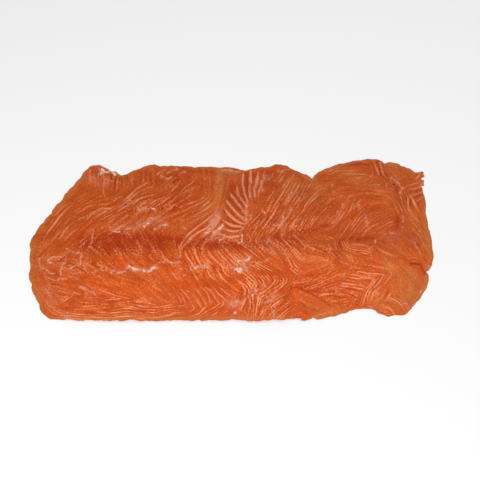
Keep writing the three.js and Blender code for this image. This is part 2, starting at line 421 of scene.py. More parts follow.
    Sheaf((BELLY_END,), 0.7, (1, 1, 1), (
        (401, 188, 411, 185, 422, 181),
        (404, 193, 413, 190, 423, 186),
        (409, 198, 418, 194, 425, 191),
        (413, 203, 420, 199, 426, 196),
    )),
    Sheaf((BELLY_END,), 0.35, (2, 2), (
        (396, 236, 406, 243, 414, 252, 418, 259),
        (402, 222, 410, 231, 418, 240, 424, 250),
        (408, 218, 416, 226, 424, 240),
    )),
    # The wide end, back side
    Sheaf((BACK_END,), 0.14, (2,), (
        (374, 243, 388, 251, 402, 262, 414, 272, 420, 282),
        (376, 251, 390, 261, 398, 272, 403, 284, 408, 296),
    )),
    Sheaf((BACK_END,), 0.4, (1, 1, 2), (
        (372, 307, 382, 309, 390, 315),
        (376, 303, 388, 306.5, 395, 314),
        (384, 299, 395, 303, 403, 313),
        (396, 298, 404, 304, 407, 311),
    )),
)

# The tables from here on hold strokes, each a strength, a half width and a line. The first holds single fat
# lines that stand out from the rest.
BRIGHT = (
    # Narrow end
    (0.44, 0.65, 53, 217, 61.8, 208, 67.3, 204, 72, 201, 76.7, 198.5, 81.4, 196, 88.5, 193),
    (0.3, 0.65, 47, 233, 54, 223, 59.4, 216.2, 62.6, 213.4, 67.3, 208.7, 75, 204),
    (0.55, 0.94, 88.5, 193, 93, 191.4, 97, 190.3),
    (0.44, 0.65, 64, 224, 70.4, 217.4, 75, 213.4, 81.4, 210.3, 87, 207, 94.8, 204.8, 102.6, 203.6),
    (0.54, 1.05, 59.4, 239.4, 65, 230.7, 70.4, 225.2, 76.7, 220.5, 83, 217.4, 89.3, 214.2, 95.6, 210.3,
        102, 208.3, 110.5, 208.7),
    (0.6, 0.6, 94, 223, 104, 218, 110.5, 215, 118.4, 210.3, 126.2, 206.4, 134, 200.9, 138, 198.5),
    (0.58, 0.41, 114.5, 216.5, 122.5, 212, 130, 207, 137, 201.5),
    (0.55, 0.48, 113, 201, 118.5, 197.7, 122.5, 196),
    (0.62, 0.8, 90, 170, 89.7, 179),
    (0.62, 0.7, 98.5, 173, 98.7, 185),
    (0.58, 0.7, 103.8, 174, 104, 185),
    (0.5, 0.41, 117.5, 176, 117.5, 184),
    (0.5, 0.41, 120.5, 176, 120.5, 184),
    (0.38, 0.6, 103.5, 190, 105.5, 197.7, 110, 198.5),
    # Belly side of the long slice
    (0.5, 0.48, 128, 197, 132.7, 192.2, 138, 187.5, 143, 184.4, 146, 182.8),
    (0.5, 0.48, 130.4, 206.4, 135, 202.4, 139.8, 198.5, 145.3, 197, 151.6, 195.4),
    (0.78, 0.48, 150, 204, 154, 201, 158, 199, 162.6, 197.7, 166.5, 195.8, 170.4, 192.2, 173.6, 189,
        178.3, 184.4, 180, 182.8),
    (0.68, 0.48, 164, 204.8, 169, 202.8, 173.6, 199.3, 176.7, 196, 181.4, 191.4, 186, 186, 191, 183.6,
        194, 179.6),
    (0.78, 0.48, 185.4, 199.3, 188.5, 196, 191.6, 193.8),
    (0.55, 0.85, 187.7, 204, 193.2, 201.6, 198.7, 200, 203.4, 197.7),
    (0.78, 0.48, 183, 215.8, 189.3, 213.4, 195.6, 211, 200.3, 208.7, 205, 204.8, 209, 201.6),
    (0.45, 0.41, 187.7, 218, 195.6, 216.6, 203.4, 214.2, 208, 212.6),
    (0.45, 0.48, 138.6, 171.5, 138.6, 176),
    (0.45, 0.48, 143, 176, 143, 183),
    (0.45, 0.48, 152.4, 172, 152.4, 183),
    # Near corner and wavy rows
    (0.4, 0.48, 54, 284, 61, 285.3, 67.3, 287.3, 72, 289.2),
    (0.48, 0.48, 58, 290, 63.4, 291.6, 70.4, 293.6, 72.8, 295.5, 72.8, 295.5, 67.3, 299, 64, 301),
    (0.51, 0.48, 73, 291.5, 79.9, 294.7, 79.9, 294.7, 75, 299.4, 70.4, 301.8),
    (0.54, 0.41, 95.6, 297, 100.3, 298.7, 105, 297.8),
    (0.3, 0.41, 83, 301.8, 89.3, 303.4, 95.6, 302.6, 102, 304, 109.7, 303.4, 114.4, 301.8, 120.7, 301.8),
    (0.3, 0.41, 78.3, 305.7, 87.7, 306, 97, 305.3, 105, 307, 114.4, 306.5, 122.3, 305, 130, 304),
    (0.3, 0.41, 74, 309, 84, 309.6, 95, 308.5, 108, 310, 121, 308.6, 132, 307.5),
    (0.3, 0.41, 84, 312.3, 98, 311.8, 112, 313, 128, 311.5, 140, 313.5),
    # Below the lateral line
    (0.4, 0.41, 128, 248, 131, 254, 136, 260, 142, 264, 146, 265),
    (0.44, 0.41, 176.7, 250, 179, 255.4, 183, 261, 186, 265),
    (0.48, 0.41, 184.6, 250, 184.6, 254, 187.7, 258.6, 191, 262.5, 193.2, 265.6),
    (0.69, 0.41, 195.3, 250.5, 195, 254.5, 197, 258, 200, 262, 202, 265.5),
    (0.88, 0.55, 202.5, 251.5, 202, 254.5, 204.5, 257.5, 207, 260, 210, 262.5, 214, 266),
    (0.48, 0.41, 213.5, 257, 218, 261.5, 221.5, 265, 224, 267),
    (0.44, 0.41, 223.5, 255, 226, 258.5),
    (0.62, 0.41, 228, 252, 231, 255.5, 234, 259, 236.5, 261),
    (0.57, 0.41, 185.5, 244.5, 182, 249.5),
    (0.44, 0.41, 190, 259, 193, 264),
    (0.44, 0.41, 181.5, 263, 184.5, 267.5),
    (0.62, 0.48, 192.4, 270, 195, 275, 197.5, 280),
    (0.7, 0.48, 199.5, 270.5, 201, 275.5, 202.5, 280.5),
    (0.75, 0.85, 207, 270, 210, 275.5, 214, 280),
    (0.75, 0.48, 219, 266, 216.5, 268, 218.5, 271.5, 220, 275.5, 222.5, 280),
    (0.57, 0.48, 225, 273.5, 229.5, 276.5, 233, 277, 236.5, 275.5, 240, 275),
    (0.48, 0.48, 173, 274, 177, 279),
    (0.53, 0.41, 255, 247.5, 259, 251, 263, 255, 265, 257.5),
    (0.44, 0.41, 263.5, 247, 267, 250, 269.5, 254),
    (0.6, 0.48, 268, 244.5, 271, 246.5, 272.5, 249.5, 275, 252.5, 276, 255),
    (0.53, 0.41, 242.5, 249, 247.5, 253),
    (0.48, 0.41, 250, 250.5, 254.5, 254, 260, 258.5),
    (0.44, 0.41, 239, 253.5, 242.5, 255.5),
    (0.48, 0.41, 280, 258.5, 282, 262, 283.5, 265.5, 284.5, 267.5),
    # Bends of the loin
    (0.58, 0.5, 179, 291, 182, 295, 184.5, 301, 186, 304.5, 186, 304.5, 183, 306, 178, 305.5),
    (0.62, 0.55, 182, 290, 186.5, 294.5, 189, 298.5, 192, 304, 194.5, 308.5, 194.5, 308.5, 192, 310.5,
        187.5, 312, 180, 312.5, 170, 312.8),
    (0.64, 0.5, 186.5, 290, 191.5, 294, 195, 298.5, 199, 304, 202.5, 309.5, 202.5, 309.5, 199.5, 313,
        192.5, 316),
    (0.52, 0.55, 199.5, 286.5, 204.5, 290, 207.5, 293.5, 209, 298.5, 209.5, 303),
    (0.55, 0.7, 206, 287.5, 211.5, 292, 214.5, 296, 217, 300.5, 220, 303.5, 220, 303.5, 216, 306.5,
        212, 309.5),
    (0.62, 0.55, 216, 291, 220, 295, 224, 298.5, 228, 301.5),
    (0.45, 0.48, 225, 306.5, 221.5, 309.5, 216, 313),
    (0.52, 0.48, 226.5, 287.5, 231.5, 291, 236.5, 294.5, 236.5, 294.5, 234.5, 297.5),
    (0.45, 0.48, 228, 310, 224.5, 313),
    # Hairpins and steep lines
    (0.49, 0.45, 262, 273, 266, 276.5, 269.3, 280.5),
    (0.46, 0.45, 255, 274, 258.5, 276.5, 262, 280),
    (0.46, 0.45, 250, 273, 255, 278, 259.5, 282),
    (0.35, 0.41, 248.5, 277.5, 254, 281, 257, 284.5),
    (0.57, 0.48, 273, 283, 270, 287, 265, 290.5, 260, 293.5),
    (0.6, 0.48, 280, 284, 276, 287, 272, 288.5, 267, 294, 262.5, 296),
    (0.57, 0.41, 289, 288.5, 287.5, 292.5, 283, 295.5, 277.5, 299, 272.5, 302),
    (0.46, 0.41, 286.5, 286, 285, 290, 281.5, 293, 277, 295.5),
    (0.46, 0.41, 283, 285, 280, 289, 276.5, 291.5),
    (0.57, 0.41, 287.5, 299, 284, 300.5, 280, 303.5, 275, 306.5, 272, 309.5),
    (0.53, 0.41, 289, 301, 285, 305, 280, 308),
    (0.53, 0.41, 285, 296.5, 278.5, 301.5, 273.5, 304),
    (0.35, 0.41, 284, 272, 290, 277.5),
    (0.43, 0.41, 289, 272, 295, 275.5, 298.5, 278.5),
    (0.57, 0.55, 255, 280.5, 257, 284.5, 256.5, 287.5),
    (0.53, 0.48, 242, 290.5, 242.5, 295, 239.5, 299.5),
    (0.6, 0.48, 245, 291, 245.5, 297, 243, 303, 241, 308),
    (0.6, 0.48, 248, 295, 249, 299, 250.5, 303, 250, 308, 248.5, 312),
    (0.6, 0.55, 252, 297, 252.5, 303, 253, 308, 252.5, 312),
    (0.53, 0.48, 246.5, 305, 244.5, 310),
    (0.35, 0.41, 256, 301, 256.5, 306, 256.5, 313),
    (0.39, 0.41, 261.5, 305, 260, 309, 262, 311),
    (0.46, 0.48, 244, 311, 247.5, 315, 247.5, 317),
    # Bold stripes
    (0.9, 1.1, 250.3, 171, 250.3, 178, 251, 183, 249.2, 187.5, 249.5, 193, 250.3, 197),
    (0.81, 0.94, 258, 171.5, 257, 177, 255.8, 182.5, 254.5, 187, 254.5, 192, 255, 196),
    (0.9, 1, 243.3, 175, 242.7, 183.6, 243.7, 189, 244.9, 194.6, 247.2, 199.3),
    (0.9, 1, 236.9, 187, 237.4, 189, 238.6, 193.8, 241.3, 199.3, 244.9, 204.8),
    (0.9, 1, 231.4, 194.5, 233.9, 197.7, 237.8, 204, 242.5, 210.3, 244.9, 213.4),
    (0.9, 0.98, 226.8, 201, 229.9, 204.8, 233.9, 209.5, 238.6, 214.2, 242.9, 218),
    (0.9, 0.94, 224.4, 209.5, 228.4, 213.4, 233, 218, 238.6, 222, 242.5, 223.6),
    (0.9, 0.94, 223.3, 220.5, 228.4, 223.6, 233, 226, 240.9, 226.4),
    (0.9, 0.85, 227.2, 229.5, 231.9, 231.5, 237, 231, 242, 230.3),
    # From the septum to the wide end
    (0.68, 0.55, 262.5, 215.5, 260, 219, 257, 223, 254, 227, 252, 229.5),
    (0.68, 0.48, 250.5, 232, 249.5, 236, 250.5, 239, 248.5, 242.5),
    (0.59, 0.48, 258, 215, 254, 220, 249.5, 225, 246.5, 230),
    (0.72, 0.55, 269.5, 218.5, 267, 223.5, 264.5, 227, 261.5, 231.5),
    (0.77, 0.48, 273, 227, 270, 230, 267, 232.5),
    (0.5, 0.48, 286, 209.5, 283.5, 212, 282.5, 215),
    (0.54, 0.48, 294, 216.5, 291, 219.5, 288, 223, 286.5, 226),
    (0.68, 0.55, 304.5, 205, 304, 209.5, 301.5, 212.5, 297.5, 216.5, 295, 221, 293, 225, 290, 227),
    (0.63, 0.55, 311.5, 205.5, 308.5, 211, 305, 216, 302.5, 221, 300.5, 225),
    (0.59, 0.48, 287.5, 240, 291, 242.5, 294, 244.5),
    (0.45, 0.48, 294, 203, 293, 207.5),
    (0.43, 1, 306.5, 184, 304.5, 189, 301, 195.5, 296.5, 201, 294, 204.5),
    # Broad slice
    (0.4, 0.48, 317.5, 205, 312, 210),
    (0.55, 0.55, 327, 207, 323.5, 211, 320, 214, 317.5, 217, 315.5, 219.5),
    (0.4, 0.41, 347, 210.5, 346, 215),
    (0.42, 0.41, 346.5, 220.5, 344, 224.5, 340, 230),
    (0.48, 0.41, 350, 220, 347, 226, 344, 231),
    (0.35, 0.41, 353, 217.5, 350, 222, 347, 227.5),
    (0.48, 0.41, 354.5, 223, 352, 227, 351, 230),
    (0.4, 0.48, 355.5, 199, 353.5, 201, 352, 205, 351.5, 208.5),
    (0.4, 0.48, 376, 218.5, 374, 222),
    (0.48, 0.48, 381, 224.5, 377, 224, 372, 226, 365, 232),
    (0.42, 0.48, 381, 229.5, 375.5, 232, 373, 235),
    (0.48, 0.48, 370, 161.5, 371, 166, 372, 171, 372.5, 175.5),
    (0.58, 0.48, 374, 163, 375, 166.5, 377, 170.5, 378.5, 174.5),
    (0.52, 0.48, 383, 166, 385, 170, 388.5, 172.5),
    (0.46, 0.48, 381, 171, 382.5, 173.5, 385, 176.5),
    (0.52, 0.48, 380.5, 177, 384.5, 181, 386, 185),
    (0.52, 0.48, 388.5, 182, 389, 186, 388.5, 189),
    (0.42, 0.48, 341.5, 241, 343, 245, 344, 250, 346.5, 253.5, 352, 255.5, 358, 257.5),
    (0.35, 0.48, 340, 255.5, 344, 257.5, 349, 260, 355, 262.5, 359, 265),
    (0.35, 0.41, 360, 252, 365, 253.5, 368.5, 253.5),
    (0.38, 0.48, 365.5, 265, 368.5, 265, 376, 267),
    (0.29, 0.41, 369.5, 269.5, 382, 269.5),
    (0.33, 0.41, 334.5, 240, 334.5, 246.5),
    (0.78, 0.6, 356.5, 272.5, 360, 271.5, 367, 273.5, 376, 273.5, 383.5, 274.6, 383.5, 274.6, 381.5, 278,
        379.5, 281, 377.5, 284, 374, 287.5),
    (0.68, 0.6, 360, 277.5, 365, 277.5, 370, 278.5, 373.8, 279.4, 373.8, 279.4, 371, 283, 369, 285.5,
        367, 287.5),
    (0.55, 0.55, 391.5, 273, 391.5, 275, 389, 278, 386.5, 281.5, 384, 284.5, 380.5, 287, 377, 289.5),
    (0.52, 0.7, 353, 291.5, 357, 292, 360.5, 293.5, 363.7, 293.7, 363.7, 293.7, 362.5, 297, 361, 301),
    (0.43, 0.48, 344.5, 293, 348, 294.5, 351, 296.5, 352.5, 298.5, 352.5, 298.5, 352, 300.5),
    (0.48, 0.48, 370, 291, 368.5, 295, 367.5, 300, 366.5, 303),
    (0.48, 0.7, 374, 292.5, 372.5, 296, 371.5, 299.5),
    (0.43, 0.48, 383.5, 295, 381, 299),
    (0.38, 0.41, 378.5, 297, 375.5, 302.5),
    (0.55, 0.48, 315, 281, 317.5, 279),
    (0.55, 0.48, 321, 283.5, 323.5, 281),
    (0.48, 0.48, 332, 281.5, 336, 279),
    (0.4, 0.48, 329, 276, 331, 275),
    (0.48, 0.55, 320.5, 294.5, 325, 293.5, 330, 293.5),
    (0.58, 0.55, 328.5, 297, 336, 297),
    (0.48, 0.48, 333, 300.5, 337, 301),
    # Wide end
    (0.58, 0.55, 407, 185.5, 412, 184, 418, 182.5),
    (0.41, 0.48, 402, 189, 404.5, 187.5, 407, 186),
    (0.8, 0.6, 405, 192.5, 410, 190, 416, 188),
    (0.8, 0.6, 412, 195, 417, 193, 422, 191),
    (0.64, 0.5, 392.5, 197.5, 397, 202, 400.5, 207.5, 403, 212.5),
    (0.74, 0.55, 400.5, 196.5, 402, 202.5, 404, 206.5, 406, 210.5),
    (0.7, 0.55, 407.5, 196, 407.7, 202.5, 408, 208.5, 409.5, 211.5),
    (0.58, 0.5, 412, 198, 414.5, 204.5),
    (0.6, 0.7, 392.5, 222, 389, 222.5, 385, 225, 381.5, 227.5, 377, 231, 373, 234),
    (0.38, 0.55, 375.5, 210.5, 384, 210.5),
    (0.46, 0.7, 404, 224, 407, 228, 409.5, 231, 413.5, 233),
    (0.65, 0.85, 416, 178.5, 418.5, 176, 420.5, 173, 424, 170),
    (0.34, 1.6, 376, 246, 382, 250.5, 386, 252.5, 390, 254, 393.5, 256.5, 397, 258.5, 400, 261, 403, 263),
    (0.34, 1, 376, 245.5, 378.5, 251.5, 382.5, 255, 387, 259, 391, 262.5, 394.5, 265, 399, 267.5),
    (0.49, 0.48, 409, 259.5, 415, 258),
    (0.57, 0.48, 411.5, 262.5, 415, 261.5),
    (0.6, 0.55, 383.5, 307, 388.5, 308, 392, 311, 393.5, 314),
    (0.4, 0.55, 391, 305.5, 396, 308, 400, 311.5, 403, 314.5),
    (0.34, 0.48, 379, 311, 385, 310),
    (0.8, 0.5, 419, 188, 421.5, 184.5, 424, 181.5),
    (0.2, 0.7, 392, 284, 392, 291, 394.5, 296, 397, 300),
    (0.22, 0.85, 400.5, 285, 402.5, 290, 405, 294),
)

# White and lilac connective tissue, and the painted highlight on the fold of the corner flap, which the first
# two strokes draw
TISSUE_AND_HIGHLIGHT = (
    # Painted highlight on the fold of the corner flap
    (1, 2.2, 100.5, 172.5, 101.5, 170, 103, 172),
    (1, 1.2, 103, 172, 107, 172, 110, 170.5, 113, 172.5, 115, 174),
    (0.6, 0.8, 93.5, 230, 91, 235, 92, 240, 90, 244, 88, 248),
    (0.62, 0.9, 64, 256, 60, 256.5, 54, 257, 49, 260, 50, 262.5, 54, 265),
    (0.62, 1.4, 64, 256, 65, 259, 63, 264, 61.5, 270, 61, 275),
    (0.6, 0.8, 66, 249, 71, 251.5, 76, 253, 80, 253, 81.5, 257, 81, 262, 80, 265),
    (0.6, 0.9, 69, 267.5, 73, 266, 78, 263),
    (0.65, 0.7, 40, 259, 40.5, 266, 45, 269, 50, 272.5, 54, 273),
    (0.7, 0.9, 50, 272.5, 54, 273),
    (0.55, 0.7, 57, 279.5, 62, 278.5, 69, 277, 74, 278, 78, 280),
    (0.45, 1, 72, 274, 79, 272.5),
    (0.4, 0.8, 82, 268, 87, 270.5, 91, 273),
    (0.4, 0.7, 85, 263, 91, 267),
    (0.5, 0.9, 93, 272, 96, 271),
    (0.55, 0.7, 99, 270.5, 106, 271),
    (0.5, 0.8, 112, 271, 115, 270),
    (0.65, 0.9, 117, 272.5, 121, 271.5, 124, 272),
    (0.55, 1.4, 81, 287, 87, 289),
    (0.66, 0.85, 87, 289, 92, 292, 96, 296),
    (0.9, 1.7, 127, 268, 129, 266, 131, 267.5, 135, 269),
    (0.72, 1.8, 135, 269, 141, 271, 147, 271, 152, 269.5, 155, 267.5),
    (0.55, 0.7, 157, 264.5, 162, 262.5, 168, 262, 172, 262.5),
    (0.6, 0.9, 170, 262, 177.5, 262.5, 179, 261.5),
    (0.7, 0.8, 178.5, 258.5, 180.5, 256, 180.7, 253),
    (0.5, 0.7, 160, 252, 163, 257, 169, 262, 173, 266),
    (0.5, 1.1, 179.5, 268.5, 182, 268.5),
    (0.7, 0.9, 192, 266, 190.5, 269.5),
    (0.85, 1.3, 195, 268.5, 199, 267, 204, 265, 203, 264.5),
    (0.9, 1.2, 203, 267, 207.5, 267.5),
    (0.35, 1.6, 184, 275, 187, 275),
    (0.4, 1.5, 173.5, 274, 176, 274),
    (0.6, 1, 219, 251.5, 221, 256, 222, 259.5),
    (0.5, 0.9, 223, 260, 225.5, 262.5),
    (0.6, 0.9, 232.5, 254, 236, 257.5),
    (0.76, 1.6, 238, 261, 241.5, 259.7, 244.5, 260.5, 249.5, 259, 250, 256.5),
    (0.7, 1.2, 243.5, 262, 244, 266, 246, 268, 247, 270.5),
    (1, 2.2, 237.5, 268.5, 241, 269, 239.5, 272),
    (0.6, 1.4, 229, 265, 232.5, 267.5, 236, 270),
    (0.5, 0.8, 256.5, 265.5, 257.5, 263, 262, 261.5, 266, 260.5, 270, 259),
    (0.38, 1.4, 285, 254, 288, 256.5, 287, 259.5),
    (0.4, 1, 297, 274, 299, 274),
    (0.42, 2, 272, 252, 274, 253.5),
    (0.43, 1, 303.5, 247, 304, 248),
    (0.9, 1, 304.5, 258.5, 304.8, 259.5),
    (0.34, 1.6, 328.5, 245, 330, 247.5, 332, 250.5),
    (0.85, 1.1, 263.3, 212, 263.8, 213),
    (0.55, 1.7, 246.7, 201, 246.5, 208, 246.2, 213, 246.2, 219, 244.7, 223.5),
    (0.5, 1.8, 250.5, 215, 251, 218),
    (0.7, 1, 242.5, 228.5, 243.5, 228.5),
    (0.7, 0.9, 240, 233, 243, 236, 242.5, 240, 239, 242.5),
    (0.55, 0.7, 230, 237, 234, 240, 238, 236),
    (0.66, 1.4, 203, 235, 208, 231, 212, 226, 216, 221, 219, 216.5),
    (0.6, 2.6, 212, 221, 217, 216),
    (0.7, 1.6, 210, 239.5, 214, 234, 218, 229, 222, 225),
    (0.7, 0.8, 220, 241, 223, 237, 226, 234),
    (0.6, 0.8, 190, 238.5, 195, 234.5),
    (0.9, 0.9, 152.5, 209, 154.5, 209),
    (0.5, 2.2, 139, 209.5, 145, 208),
    (0.5, 0.8, 181, 220, 183, 220),
    (0.7, 0.8, 183, 227, 185, 228),
    (0.95, 0.9, 160.5, 226, 166.5, 224.5),
    (0.7, 0.9, 111, 230, 116, 231.5, 120, 231.5),
    (0.5, 1.2, 119, 227, 123, 225.5),
    (0.6, 0.8, 125, 229, 130, 228.5, 133, 229, 137, 226.5),
    (0.55, 1.4, 137, 224, 141, 226),
    (0.7, 1.1, 144, 227, 147, 224, 150, 221),
    (0.45, 2.2, 150, 219, 156, 218),
    (0.45, 1.3, 154, 229, 159, 227),
    (0.45, 1, 157, 174, 161, 171, 165, 170),
    (0.5, 0.9, 167, 173, 172, 172, 177, 169.5),
    (0.5, 0.7, 160, 176, 166, 179, 172, 177),
    (0.4, 1, 180, 173, 186, 172.5),
    (0.5, 1, 222, 170.5, 232, 171, 240, 172.5),
    (0.47, 1.2, 279, 171, 283, 171, 288.5, 169.5),
    (0.51, 1.1, 272, 174, 270, 177.5, 267.5, 180),
    (0.51, 1.8, 264, 176.5, 263, 180, 260.5, 183, 261.5, 187, 261.5, 191),
    (0.42, 1.5, 275, 182, 277.5, 180.5),
    (0.51, 1.2, 293, 191, 290, 195.5, 287.5, 200, 285.5, 204),
    (0.5, 1.2, 283, 216.5, 282, 220.5, 280, 223, 277, 224.5, 274, 225),
    (0.42, 1.2, 283, 224.5, 282, 227, 280.5, 229.5),
    (0.4, 1.1, 285, 232.5, 282, 235),
    (0.38, 1.1, 291.5, 208.5, 289, 212, 288.5, 216),
    (0.42, 1.6, 269, 239, 267, 242),
    (0.3, 1.2, 331.5, 227, 328, 229.5),
    (0.3, 2.4, 339, 213.5, 336, 217.5, 332, 223),
    (0.29, 2, 343, 204, 343, 207),
    (0.32, 1.6, 359, 205, 359, 207),
    (0.32, 2.8, 365, 216, 368, 224.5),
    (0.5, 1.2, 331, 186.5, 332.5, 186),
    (0.43, 1, 336, 193, 338, 194),
    (0.43, 1.2, 340, 195, 343, 195.5),
    (0.43, 1.1, 356, 182.5, 359, 182.3),
    (0.36, 1, 369, 177, 372, 176.5),
    (0.55, 1, 391.5, 177, 394.5, 180, 397.5, 182.5, 400, 186, 402.5, 188.5),
    (0.43, 1.6, 400.5, 191.5, 401, 193),
    (0.3, 0.5, 419, 188, 421.5, 184.5, 424, 181.5),
    (0.5, 0.8, 402, 216.5, 403, 221),
    (0.36, 1.5, 401, 226.5, 402, 227.5),
    (0.32, 1.6, 385.5, 234, 390, 233, 394.5, 233.5),
    (0.29, 1.8, 411, 217, 412, 220),
    (0.43, 1.2, 353.5, 244.5, 362, 245, 368, 246),
    (0.55, 0.8, 371.5, 247, 369.5, 249.5),
    (0.5, 0.9, 375, 240.5, 375, 243),
    (0.35, 0.8, 351.5, 267.5, 349, 269),
    (0.43, 0.9, 346, 271.5, 344, 274.5, 340, 275),
    (0.32, 1.8, 389, 244.5, 394, 246, 399, 248),
    (0.43, 1.1, 409, 239, 413.5, 242.5, 416.5, 247, 420, 251),
    (0.5, 1.3, 429, 266, 429, 268.5),
    (0.45, 0.8, 382.5, 274.5, 384, 275),
    (0.45, 0.8, 372.5, 279, 374, 280),
    (0.43, 2.2, 376, 292, 378, 292.5),
    (0.6, 0.7, 401, 305, 404, 303.5, 406.5, 305, 408.5, 307),
    (0.5, 1.1, 337, 292, 339.5, 292),
    (0.36, 1.2, 343, 284, 343.5, 284.5),
    (0.36, 1.1, 361.5, 283.5, 362, 284.5),
    (0.36, 1, 336.5, 288, 338.5, 288.5),
    (0.5, 1, 320.5, 314.5, 325, 313),
    (0.43, 0.9, 329.5, 313.5, 332, 313),
    (0.5, 1, 370.5, 307.5, 372, 309),
    (0.8, 0.8, 421.5, 291.5, 420, 294),
    (0.43, 0.8, 415, 304.5, 413.5, 306),
    (0.8, 1.2, 251.5, 294, 252.5, 295),
    (0.8, 1.6, 255, 289.5, 256, 291),
    (0.59, 1.5, 259.5, 297.5, 260.5, 299.5),
    (0.51, 2, 272, 297.5, 275, 296.5),
    (0.42, 1.8, 262, 284, 264, 285.5),
    (0.6, 3, 232, 305.5, 236, 303.5, 238, 302),
    (0.9, 1, 234, 312.8, 235.3, 312),
    (0.59, 1.3, 273, 312, 273.5, 316),
    (0.42, 1.6, 268, 299, 266, 303),
    (0.5, 1.8, 65, 316, 70, 317),
    (0.36, 1.0, 250.3, 172, 250.5, 182, 249.3, 190, 250, 196),
    (0.36, 0.9, 257.5, 174, 255, 188, 255, 195),
    (0.36, 0.9, 243, 176, 243.7, 188, 247, 199),
    (0.36, 0.9, 237, 188, 239, 195, 244, 204),
    (0.36, 0.9, 232, 196, 238, 204, 244, 213),
    (0.33, 0.9, 228, 203, 236, 211.5, 243, 218),
)

# Lilac film in wide soft patches
VEILS = (
    (0.5, 3.5, 138, 224, 148, 222, 158, 218),
    (0.4, 3, 112, 229, 122, 228, 134, 228),
    (0.55, 3.5, 208, 230, 214, 222, 219, 213),
    (0.45, 3, 214, 236, 220, 228),
    (0.5, 5, 236, 262, 243, 262, 246, 267),
    (0.4, 4, 228, 304, 238, 302),
    (0.4, 3, 270, 298, 278, 296),
    (0.3, 5, 90, 178, 98, 182, 104, 184),
    (0.35, 3.5, 282, 217, 281, 228),
    (0.3, 5, 232, 174, 222, 172),
    (0.3, 5, 46, 290, 52, 302),
    (0.25, 6, 388, 236, 396, 234),
    (0.07, 9, 300, 258, 314, 261, 330, 262),
    (0.5, 2.4, 127, 267.5, 136, 269.5, 147, 271, 155, 267.5),
)
